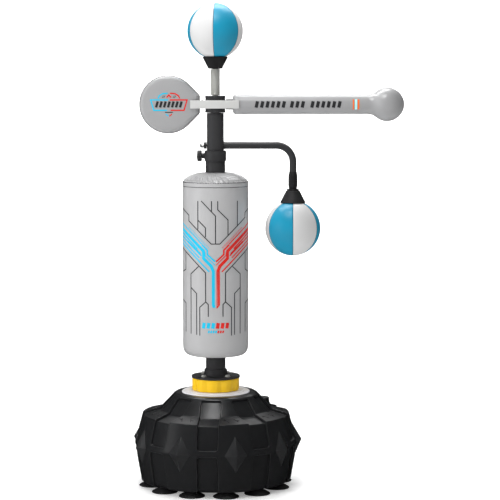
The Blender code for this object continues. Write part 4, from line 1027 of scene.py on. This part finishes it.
BAR_START, BAR_RADIUS, BAR_TIP, BAR_TIP_RADIUS, BAR_FLARE = 0.062, 0.0353, 0.608, 0.0605, 0.055
BAR_SHRINK, BAR_SIDES = 0.0008, 96
PADDLE = Vector((-0.166, 0, SPIN_HEIGHT))
PADDLE_RADIUS, PADDLE_EDGE, PADDLE_NECK, PADDLE_HALF = 0.1, 0.11, 0.031, 0.034
STRAP_LEFT, STRAP_RIGHT, STRAP_HALF_WIDTH = -0.0885, 0.0835, 0.0145
STRAP_INSIDE, STRAP_OUTSIDE, STRAP_ROUNDING = 0.0363, 0.0393, 0.0009
STRAP_SCREWS = [(x, rise) for x in (-0.046, 0.049) for rise in (-0.008, 0.008)]


def add_hub():
    hub = [(0.0155, 1.3672), (0.025, 1.3672), (0.0262, HUB_TOP), (0.0345, HUB_TOP),
           (HUB_RADIUS, 1.3665), (HUB_RADIUS, 1.362), (0.0352, 1.3612), (0.0352, 1.315),
           (HUB_RADIUS, 1.3142), (HUB_RADIUS, 1.31), (0.0345, HUB_BOTTOM), (0.018, HUB_BOTTOM),
           (0.0155, 1.31), (0.0155, 1.3672)]
    add_piece("spinner_barrel", turned(hub, 0.0006, 96), "black_steel", "spinner",
              "spinner_hub", "bearing_lower", "bearing_upper")

    low, high = SPIN_HEIGHT - STRAP_HALF_WIDTH, SPIN_HEIGHT + STRAP_HALF_WIDTH
    front = [block((STRAP_LEFT, -STRAP_OUTSIDE, low), (STRAP_RIGHT, -STRAP_INSIDE, high),
                   STRAP_ROUNDING)]
    rear = block((STRAP_LEFT, STRAP_INSIDE, low), (STRAP_RIGHT, STRAP_OUTSIDE, high),
                 STRAP_ROUNDING)
    for x, rise in STRAP_SCREWS:
        nut = grid_mesh(turned_points(rod(0.0062, -0.0005, 0.009), 6))
        nut.transform(Matrix.Translation((x, -STRAP_INSIDE, SPIN_HEIGHT + rise)) @ rotation(-90, "X"))
        front.append(nut)
    add_piece("strap_plate_front", front, "strap", "spinner", "strap_front", crisp=HARD)
    add_piece("strap_plate_rear", rear, "strap", "spinner", "strap_rear", crisp=HARD)
    for number, (x, rise) in enumerate(STRAP_SCREWS, start=1):
        place = Matrix.Translation((x, STRAP_OUTSIDE, SPIN_HEIGHT + rise)) @ rotation(-90, "X")
        shank = turned(rod(0.004, -0.0745, 0.001), 0.0003, 20, matrix=place)
        add_piece(f"strap_screw_{number}", [hex_head(0.0073, 0.0054, place), shank], "bright_steel",
                  "spinner", f"strap_bolt_{number}", crisp=HARD)


def along_bar(profile_points):
    """Points turned about Z, laid along the bar's axis."""
    turn = np.array(rotation(90, "Y").to_3x3())
    return profile_points @ turn.T + np.array([0, 0, SPIN_HEIGHT])


BAR_CORNER, BAR_NECK_SEAM, BAR_MOUTH_SEAM = 0.01, 0.554, 0.068
BAR_CREASE, BAR_CREASE_WIDTH = 0.557, 0.007
BAR_PRESSURE, BAR_SWELL = 3.0, 0.0012


def bar_profile():
    """Line of (radius, place along the bar): mouth, roll, hollow flare and round head."""
    flare = BAR_RADIUS + BAR_FLARE
    reach = math.sqrt((BAR_TIP_RADIUS + BAR_FLARE) ** 2 - flare ** 2)
    meet = math.atan2(reach, flare)
    line = [(0.0196, BAR_START + 0.003), (0.0225, BAR_START + 0.001)]
    for turn in np.radians(np.arange(0, 91, 15)):
        line.append((BAR_RADIUS - BAR_CORNER * (1 - math.sin(turn)),
                     BAR_START + BAR_CORNER * (1 - math.cos(turn))))
    line += [(BAR_RADIUS, x) for x in np.arange(0.08, BAR_TIP - reach, 0.008)]
    line += [(flare - BAR_FLARE * math.cos(turn), BAR_TIP - reach + BAR_FLARE * math.sin(turn))
             for turn in np.linspace(0, meet, 10)]
    line += [(BAR_TIP_RADIUS * math.cos(turn), BAR_TIP + BAR_TIP_RADIUS * math.sin(turn))
             for turn in np.linspace(-meet, math.pi / 2, 32)[1:]]
    return line


def bar_mesh():
    """Padded roll with a round head: its seams are held while it is blown up."""
    line = np.array(bar_profile())
    line[:, 0] -= BAR_SHRINK * (line[:, 0] > 0.021)
    line[-1, 1] -= BAR_SHRINK
    points = along_bar(turned_points(line, BAR_SIDES))
    along = line[:, 1]
    seams = (along < BAR_MOUTH_SEAM) | (np.abs(along - BAR_NECK_SEAM) < 0.004) | (line[:, 0] < 0.012)
    pinned = np.repeat(seams[:, None], BAR_SIDES, axis=1)
    blown = inflated(points, pinned, BAR_PRESSURE, BAR_SWELL)

    # Soft creases under the neck of the head, and one gather all round it
    turn = np.arctan2(blown[..., 1], blown[..., 2] - SPIN_HEIGHT)
    neck = bump(blown[..., 0], BAR_CREASE, BAR_CREASE_WIDTH)
    under = smoothstep((-np.cos(turn) - 0.1) / 0.7)
    folds = 0.0013 * under * (0.7 + 0.3 * np.cos(9 * turn))
    gather = 0.0004 * np.cos(17 * turn) ** 2
    crease = neck * (folds + gather)
    middle = np.array([0, 0, SPIN_HEIGHT])
    outwards = blown - middle
    outwards[..., 0] = 0
    radius = np.maximum(np.linalg.norm(outwards, axis=2, keepdims=True), 0.001)
    return grid_mesh(blown - outwards / radius * crease[..., None])


DASH_PITCH, DASH_LEAN, DASH_HALF, DASH_WIDTH = 0.019, 0.0025, 0.0115, 0.0115
STRIPE_HALF = 0.019


def add_bar():
    tube = fillet(pipe(0.0163, 0.0188, 0.0365, 0.09), 0.0006, 3)
    mesh = grid_mesh(along_bar(turned_points(tube, 56)))
    add_piece("bar_inner_tube", mesh, "black_steel", "spinner", "bar_core")
    pad = bar_mesh()
    tree = tree_of(pad)
    # The bar's pad takes the darker copy of the grey leather: painted shade.
    bar = add_piece("bar_pad", pad, "spinner_leather", "spinner", "bar_cover", "bar_foam", crisp=SOFT)

    def on_bar(x, around, lift):
        turn = around / BAR_RADIUS
        outwards = Vector((0, -math.cos(turn), math.sin(turn)))
        start = Vector((x, 0, SPIN_HEIGHT)) + outwards * 0.2
        spot = tree.ray_cast(start, -outwards)[0]
        return spot + outwards * lift

    dashes = []
    for start, count in ((0.146, 6), (0.27, 3), (0.342, 6)):
        for index in range(count):
            x = start + DASH_PITCH * index
            path = [(x - DASH_LEAN, -DASH_HALF), (x + DASH_LEAN, DASH_HALF)]
            dashes.append(ribbon(path, DASH_WIDTH, on_bar))
    add_piece("bar_dashes", dashes, "ink_dark", "spinner")
    for name, ink, x, width in (("bar_stripe_left", "ink_orange", 0.4863, 0.005),
                                ("bar_stripe_middle", "ink_pale", 0.49555, 0.0071),
                                ("bar_stripe_right", "ink_orange", 0.5041, 0.0064)):
        stripe = ribbon([(x, -STRIPE_HALF), (x, STRIPE_HALF)], width, on_bar, step=0.003)
        add_piece(name, stripe, ink, "spinner")

    # The cover closes at the back with a strip between two rows of stitches
    back, left, right = math.pi * BAR_RADIUS, 0.085, 0.545
    closing = ribbon([(left, back), (right, back)], 0.012, on_bar, 0.0009)
    # The strip takes the same darker copy of the grey leather: painted shade.
    add_piece("bar_closing_strip", closing, "spinner_leather", "spinner")
    threads = []
    for side in (-1, 1):
        line = [on_bar(x, back + side * 0.0045, 0.001) for x in np.arange(left + 0.002, right, 0.01)]
        threads += sewn(line, 0.0045, 0.0016, 0.0004)
    ring = [on_bar(0.0765, turn * BAR_RADIUS, 0.0002) for turn in np.linspace(0, 2 * math.pi, 80)]
    threads += sewn(ring, 0.0042, 0.0015, 0.0004)
    add_piece("bar_stitches", threads, "pale_thread", "spinner")


def paddle_outline(count=176):
    """Outline of disc, tangents and flat edge in the paddle's own plane, about the disc's centre."""
    corner = math.atan2(PADDLE_NECK, PADDLE_EDGE)
    sweep = corner + math.acos(PADDLE_RADIUS / math.hypot(PADDLE_NECK, PADDLE_EDGE))
    corners = [(PADDLE_EDGE, 0.0), (PADDLE_EDGE, PADDLE_NECK)]
    rim = [(PADDLE_RADIUS * math.cos(turn), PADDLE_RADIUS * math.sin(turn))
           for turn in np.linspace(sweep, 2 * math.pi - sweep, 90)]
    line = [corners[0]] + fillet([corners[0], corners[1], rim[0]], 0.006, 5)[1:-1] + rim
    line += fillet([rim[-1], (PADDLE_EDGE, -PADDLE_NECK), corners[0]], 0.006, 5)[1:]
    line = np.array(line)
    run = run_lengths(line)
    even = np.linspace(0, run[-1], count, endpoint=False)
    return resampled(line, even, run)


def paddle_point(spot, inset, depth):
    """A point of the outline moved inwards, at a depth behind the front."""
    distance = np.linalg.norm(spot, axis=-1, keepdims=True)
    flat = spot * (1 - inset / distance)
    depths = np.full(flat.shape[:-1], depth)
    return np.stack([PADDLE.x + flat[..., 0], depths, PADDLE.z + flat[..., 1]], axis=-1)


PADDLE_FACE = PADDLE_HALF - 0.003
PADDLE_ROUNDING, PADDLE_WALL_ROW = 0.013, 0.008
# Shares of the outline at which the flat face gets rings of points, and turns round its edge
FACE_RINGS = [0.0001, 0.06, 0.14, 0.24, 0.34, 0.44, 0.54, 0.64, 0.73, 0.81]
EDGE_TURNS = [0, 18, 36, 54, 72, 90]
PADDLE_PRESSURE, PADDLE_SWELL = 4.0, 0.004


def paddle_mesh():
    """Boxed round cushion: two faces blown up between the piped edges."""
    outline = paddle_outline()
    rows = [paddle_point(outline * share, 0.0, -PADDLE_FACE) for share in FACE_RINGS]
    for turn in np.radians(EDGE_TURNS):
        inset = PADDLE_ROUNDING * (1 - math.sin(turn))
        depth = PADDLE_ROUNDING * (1 - math.cos(turn)) - PADDLE_FACE
        rows.append(paddle_point(outline, inset, depth))
    edge = PADDLE_FACE - PADDLE_ROUNDING
    rows.append(paddle_point(outline, 0.0, PADDLE_WALL_ROW - edge))
    front = np.array(rows)
    back = front[::-1].copy()
    back[..., 1] *= -1
    points = np.concatenate([front, back])
    seam = len(FACE_RINGS) + len(EDGE_TURNS) - 1
    pinned = np.zeros(points.shape[:2], bool)
    pinned[[seam, -1 - seam]] = True
    blown = inflated(points, pinned, PADDLE_PRESSURE, PADDLE_SWELL)
    blown[0] = blown[1].mean(axis=0)
    blown[-1] = blown[-2].mean(axis=0)
    return grid_mesh(blown), outline, edge


def add_paddle():
    mesh, outline, edge = paddle_mesh()
    tree = tree_of(mesh)
    # The paddle's pad takes the darker copy of the grey leather: painted shade.
    pad = add_piece("paddle_pad", mesh, "spinner_leather", "spinner",
                    "paddle_cover", "paddle_foam", crisp=SOFT)
    for name, depth in (("paddle_piping_front", -edge), ("paddle_piping_rear", edge)):
        path = paddle_point(outline, -0.0002, depth)
        add_piece(name, swept(path, 0.0017, 10, closed=True), "thread", "spinner")

    def on_face(side):
        def place(x, z, lift):
            start = Vector((PADDLE.x + x, side * 0.2, PADDLE.z + z))
            spot = tree.ray_cast(start, Vector((0, -side, 0)))[0]
            return spot + Vector((0, side, 0)) * lift
        return place

    front, rear = on_face(-1), on_face(1)

    def badge(x, z, lift):
        return front(x + 0.003, z, lift)

    threads = []
    for place in (front, rear):
        ring = [place(*(spot * (1 - 0.0075 / np.linalg.norm(spot))), 0.0001) for spot in outline]
        threads += sewn(ring, 0.0045, 0.0014, 0.00035)
    add_piece("paddle_stitches", threads, "pale_thread", "spinner")

    # Plain badge: a box under an arch, with slanted bars where a name would be
    half_badge = [
        (0.0045, [(0.003, 0.0158), (0.064, 0.0158), (0.053, -0.0205), (0.006, -0.0205)]),
        (0.0045, [(0.038, 0.021), (0.034, 0.03), (0.022, 0.0375), (0.004, 0.0395)]),
        (0.0038, [(0.011, -0.0335), (0.001, -0.0415)]),
    ]
    red, cyan = [], []
    for width, path in half_badge:
        red.append(ribbon(path, width, badge))
        cyan.append(ribbon(mirrored(path), width, badge))
    red.append(ribbon([(-0.008, 0.0245), (0.0, 0.033), (0.008, 0.0245)], 0.0046, badge))
    dark = [ribbon([(x - 0.003, -0.0105), (x + 0.003, 0.0105)], 0.0085, badge)
            for x in np.linspace(-0.042, 0.042, 7)]
    dark += [ribbon([(x - 0.002, 0.0225), (x + 0.003, 0.031)], 0.0018, badge)
             for x in (-0.0215, -0.0165, 0.0165, 0.0215)]
    dark.append(ribbon([(-0.014, -0.0275), (0.014, -0.0275)], 0.003, badge))
    for name, strokes, ink in (("badge_red", red, "ink_red"), ("badge_cyan", cyan, "ink_cyan"),
                               ("badge_dark", dark, "ink_dark")):
        add_piece(name, strokes, ink, "spinner")

    points = along_bar(turned_points(fillet(rod(0.0138, -0.09, -0.0365), 0.0008, 3), 48))
    add_piece("paddle_stem", grid_mesh(points), "black_plastic", "spinner", "paddle_core")


# ---- padded bag

SEAM_HEIGHT, WELT_HEIGHT, PUCKERS = 1.0645, 1.049, 37
BOTTOM_SEAM, BAG_BORE = 0.093, 0.0358
SKIN_INSET, GATHER_RUN, SEAM_HOLD = 0.001, 0.034, 0.004
BAG_PRESSURE, BAG_SWELL = 4.0, 0.002


def bag_rows():
    """Rows down the bag's skin, close together at its seams: radius, height and outward normal."""
    crown = [(radius, BAG_TOP - share * BAG_DOME)
             for radius, share in ((BAG_BORE, 0.03), (0.065, 0.08), (0.092, 0.35), (0.109, 0.68))]
    profile = [*crown, (BAG_RADIUS, BAG_TOP - BAG_DOME), (BAG_RADIUS, BAG_BOTTOM),
               (BAG_BORE, BAG_BOTTOM + 0.001)]
    line = np.array(fillet(profile, [0, 0.03, 0.03, 0.02, 0.008, 0.037, 0], 6))
    run = run_lengths(line)
    rows = [*run, *np.arange(0, run[-1], 0.009)]
    side = np.flatnonzero(line[:, 0] > BAG_RADIUS - 0.0002)
    seam = run[side[0]] + (line[side[0], 1] - SEAM_HEIGHT)
    rows += [*np.arange(seam - 0.034, seam + 0.016, 0.0011)]
    base = run[-1] - (BOTTOM_SEAM - BAG_BORE)
    rows += [*np.arange(base - 0.006, base + 0.006, 0.0011)]
    rows = spaced(rows, 0.0005)
    points = resampled(line, rows, run)
    along = np.gradient(points, rows, axis=0)
    along /= np.linalg.norm(along, axis=1, keepdims=True)
    return points, np.stack([-along[:, 1], along[:, 0]], axis=1)


def bag_mesh():
    """Stuffed roll: blown up between its sewn rings, then gathered at the top seam."""
    line, normal = bag_rows()
    columns = PUCKERS * 8
    headings = np.arange(columns) * 360 / columns
    coarse_rows = spaced(np.arange(len(line)), 4).astype(int)
    coarse = turned_points(line - normal * SKIN_INSET, columns)[coarse_rows][:, ::4]
    height, radius = line[coarse_rows, 1], line[coarse_rows, 0]
    underside = BAG_BOTTOM + 0.014
    held = (height < underside) & (np.abs(radius - BOTTOM_SEAM) < 0.006) | (radius < 0.045)
    for seam in (SEAM_HEIGHT, WELT_HEIGHT):
        held |= np.abs(height - seam) < SEAM_HOLD
    pinned = np.repeat(held[:, None], coarse.shape[1], axis=1)
    blown = inflated(coarse, pinned, BAG_PRESSURE, BAG_SWELL)

    # The coarse cloth's swell, spread over the fine rows and columns
    swell = np.linalg.norm(blown - coarse, axis=2)
    wrapped = np.concatenate([swell, swell[:, :1]], axis=1)
    turns = np.linspace(0, 360, wrapped.shape[1])
    finer = np.stack([np.interp(headings, turns, row) for row in wrapped])
    every_row = np.arange(len(line))
    swell = np.stack([np.interp(every_row, coarse_rows, column) for column in finer.T], axis=1)

    height, radius = line[:, 1:], line[:, :1]
    angle = np.radians(headings)[None]
    rise = height - SEAM_HEIGHT
    lean = 2 * math.pi * rise / GATHER_RUN
    above = smoothstep(rise / 0.004) * (1 - smoothstep((rise - 0.008) / 0.022))
    gathers = 0.0022 * above * (np.abs(np.sin((PUCKERS * angle + lean) / 2)) - 0.8)
    fan = 0.0006 * smoothstep((rise - 0.004) / 0.01) * np.cos(PUCKERS * angle * 2 + lean * 1.5)
    fan = fan * (radius > 0.06)
    seams = -0.0013 * bump(height, SEAM_HEIGHT, 0.0013) - 0.0011 * bump(height, WELT_HEIGHT, 0.001)
    seams = seams - 0.0012 * (height < underside) * bump(radius, BOTTOM_SEAM, 0.0014)
    soft = 0.00025 * np.sin(3 * angle + 9 * height) * np.sin(17 * height + 2 * angle)
    soft = soft * (height < WELT_HEIGHT)
    depth = gathers + fan + seams + soft + swell - SKIN_INSET
    place = line[:, None] + normal[:, None] * depth[..., None]
    points = around_axis(place[..., 0], place[..., 1], angle)
    inside = points[:1].copy()
    return grid_mesh(np.concatenate([points, inside]))


def bag_finder(mesh):
    tree = tree_of(mesh)

    def on_bag(around, height, lift):
        outwards = heading_point(1.0, math.degrees(around / BAG_RADIUS))
        start = outwards * 0.3 + Vector((0, 0, height))
        return tree.ray_cast(start, -outwards)[0] + outwards * lift
    return on_bag


PRINT_RISE, PRINT_STEP, PRINT_EDGE = 0.004, 5, 0.99


def unrolled(points):
    """Points of a front view, in millimetres, as lengths around the bag and heights in metres."""
    path = []
    for start, end in zip(points, points[1:]):
        count = max(1, round(abs(end[0] - start[0]) / PRINT_STEP))
        path += [Vector(start).lerp(Vector(end), step / count) for step in range(count)]
    path.append(Vector(points[-1]))
    limit = BAG_RADIUS * PRINT_EDGE
    return [(BAG_RADIUS * math.asin(max(-limit, min(limit, point.x / 1000)) / BAG_RADIUS),
             point.y / 1000 + PRINT_RISE) for point in path]


def mirrored(points):
    return [(-x, z) for x, z in points]


# Lines of the print in the front view, in millimetres: place across and height
CIRCUIT_TOP = [
    [(-62, 998), (-62, 898)], [(-50, 998), (0, 946), (0, 848)], [(-14, 998), (-14, 962)],
    [(8, 998), (8, 968), (44, 932), (44, 878)], [(77, 998), (77, 908)],
    [(-62, 931), (-35, 904), (-35, 872)],
    [(-116, 968), (-94, 946), (-94, 926), (-15, 848), (15, 848), (104, 937), (104, 954), (115, 966)],
]
CIRCUIT_SIDE = [
    [(-116, 828), (-35, 746), (-35, 644), (-26, 635), (-26, 592)], [(-35, 644), (-56, 624), (-56, 524)],
    [(-105, 816), (-105, 754), (-115, 744)], [(-60, 768), (-87, 740), (-87, 528)],
    [(-87, 692), (-67, 672), (-67, 526)], [(-115, 644), (-105, 634), (-105, 532)],
]
# Each stroke's width and its line
CHEVRON = [
    (4.0, [(-116, 916), (-48, 847)]),
    (5.8, [(-48, 845), (-29, 826), (-29, 811), (-2, 786)]),
    (3.4, [(-37, 818), (-37, 808), (-2, 774)]),
    (11.0, [(-116, 896), (-42, 822), (-42, 797), (-15, 770), (-8, 752)]),
    (5.0, [(-116, 882), (-64, 830)]),
    (7.6, [(-96, 852), (-54, 812)]),
    (5.0, [(-116, 870), (-76, 832), (-50, 806)]),
    (4.0, [(-116, 857), (-57, 798)]),
    (4.6, [(-116, 845), (-22, 750)]),
]
LINE_WIDTH, CHEVRON_LIFT = 0.0034, 0.0006
TICKS, TICK_PITCH, TICK_HALF, TICK_WIDTH = 22, 3.2, 2.2, 0.0016


def add_bag_print(on_bag):
    dark = [ribbon(unrolled(path), LINE_WIDTH, on_bag) for path in CIRCUIT_TOP]
    for path in CIRCUIT_SIDE:
        for half in (path, mirrored(path)):
            dark.append(ribbon(unrolled(half), LINE_WIDTH, on_bag))
    add_piece("bag_circuit_lines", dark, "ink_dark", "post")

    cyan, red = [], []
    for width, path in CHEVRON:
        cyan.append(ribbon(unrolled(path), width / 1000, on_bag, CHEVRON_LIFT))
        red.append(ribbon(unrolled(mirrored(path)), width / 1000, on_bag, CHEVRON_LIFT))
    for index in range(TICKS):
        x, z = -92 + TICK_PITCH * index, 902 - TICK_PITCH * index
        tick = [(x - TICK_HALF, z - TICK_HALF), (x + TICK_HALF, z + TICK_HALF)]
        cyan.append(ribbon(unrolled(tick), TICK_WIDTH, on_bag))
        red.append(ribbon(unrolled(mirrored(tick)), TICK_WIDTH, on_bag))
    for strokes, path, width in (
        (cyan, [(-8, 756), (-8, 634), (-5, 624)], 0.0105),
        (red, [(5, 756), (5, 624), (13, 634), (13, 752)], 0.0042),
        (red, [(9, 752), (9, 634)], 0.0028),
    ):
        strokes.append(ribbon(unrolled(path), width, on_bag, CHEVRON_LIFT))

    # Plain slanted blocks low on the front, where a name would be
    for start, pitch, low_edge, high_edge, width, count in (
        (-42, 16.6, 550, 570, 0.012, 6), (-24, 8.4, 534, 543, 0.0058, 7),
    ):
        for index in range(count):
            x = start + pitch * index
            mark = ribbon(unrolled([(x - 1.5, low_edge), (x + 1.5, high_edge)]), width, on_bag)
            (cyan if x < 2 else red).append(mark)
    add_piece("bag_print_cyan", cyan, "ink_cyan", "post")
    add_piece("bag_print_red", red, "ink_red", "post")


TOP_STITCHES, WELT_POINTS, LOW_STITCHES = 123, 160, 100


def add_bag():
    mesh = bag_mesh()
    on_bag = bag_finder(mesh)
    bag = add_piece("bag_pad", mesh, "grey_leather", "post", "bag_cover", "bag_foam", crisp=SOFT)
    add_bag_print(on_bag)

    # Slanting stitches across the top seam, each with a short one above it, and a welt below
    threads = []
    for around in np.linspace(0, 2 * math.pi * BAG_RADIUS, TOP_STITCHES, endpoint=False):
        for start, low, end, high, lift, radius in (
            (-0.0016, -0.0013, 0.0016, 0.0013, 0.0003, 0.0008),
            (0.0, 0.0068, 0.002, 0.0071, 0.0002, 0.0005),
        ):
            threads.append(stitch(on_bag(around + start, SEAM_HEIGHT + low, lift),
                                  on_bag(around + end, SEAM_HEIGHT + high, lift), radius))
    add_piece("bag_top_stitches", threads, "thread", "post")
    ring = [on_bag(around, WELT_HEIGHT, 0.0001)
            for around in np.linspace(0, 2 * math.pi * BAG_RADIUS, WELT_POINTS, endpoint=False)]
    add_piece("bag_welt", swept(ring, 0.001, 8, closed=True), "thread", "post")

    # The cover closes at the back with a lapped strip between two rows of stitches
    middle = math.pi * BAG_RADIUS
    top, bottom = WELT_HEIGHT - 0.006, BAG_BOTTOM + 0.042
    strip = ribbon([(middle, top), (middle, bottom)], 0.02, on_bag, 0.001, 0.006)
    add_piece("bag_closing_strip", strip, "grey_leather", "post")
    threads = []
    for side in (-1, 1):
        line = [on_bag(middle + side * 0.008, z, 0.0011) for z in np.arange(top - 0.002, bottom, -0.01)]
        threads += sewn(line, 0.005, 0.0018, 0.0004)
    foot = tree_of(mesh)
    for heading in np.arange(LOW_STITCHES) * 360 / LOW_STITCHES:
        below = heading_point(BOTTOM_SEAM, heading, BAG_BOTTOM - 0.05)
        spot = foot.ray_cast(below, Vector((0, 0, 1)))[0]
        way = heading_point(0.0016, heading + 90)
        threads.append(stitch(spot - way, spot + way, 0.0004))
    add_piece("bag_low_stitches", threads, "pale_thread", "post")


# ---- assembly

def finish_inner_nodes():
    """The CAD nodes that nothing replaces lie inside; they take the same procedural materials."""
    for subpart in frame["record"]["subparts"]:
        node = frame["nodes"][subpart["node"]]
        node.data.materials.clear()
        node.data.materials.append(MATERIALS[subpart["material_slot"]])


make_camera()
make_materials()
make_stage()
for softbox in SOFTBOXES:
    make_softbox(*softbox)
finish_inner_nodes()
add_tank()
add_foot()
add_knob()
add_mast()
add_arm()
add_sleeve()
add_balls()
add_spring()
add_hub()
add_bar()
add_paddle()
add_bag()
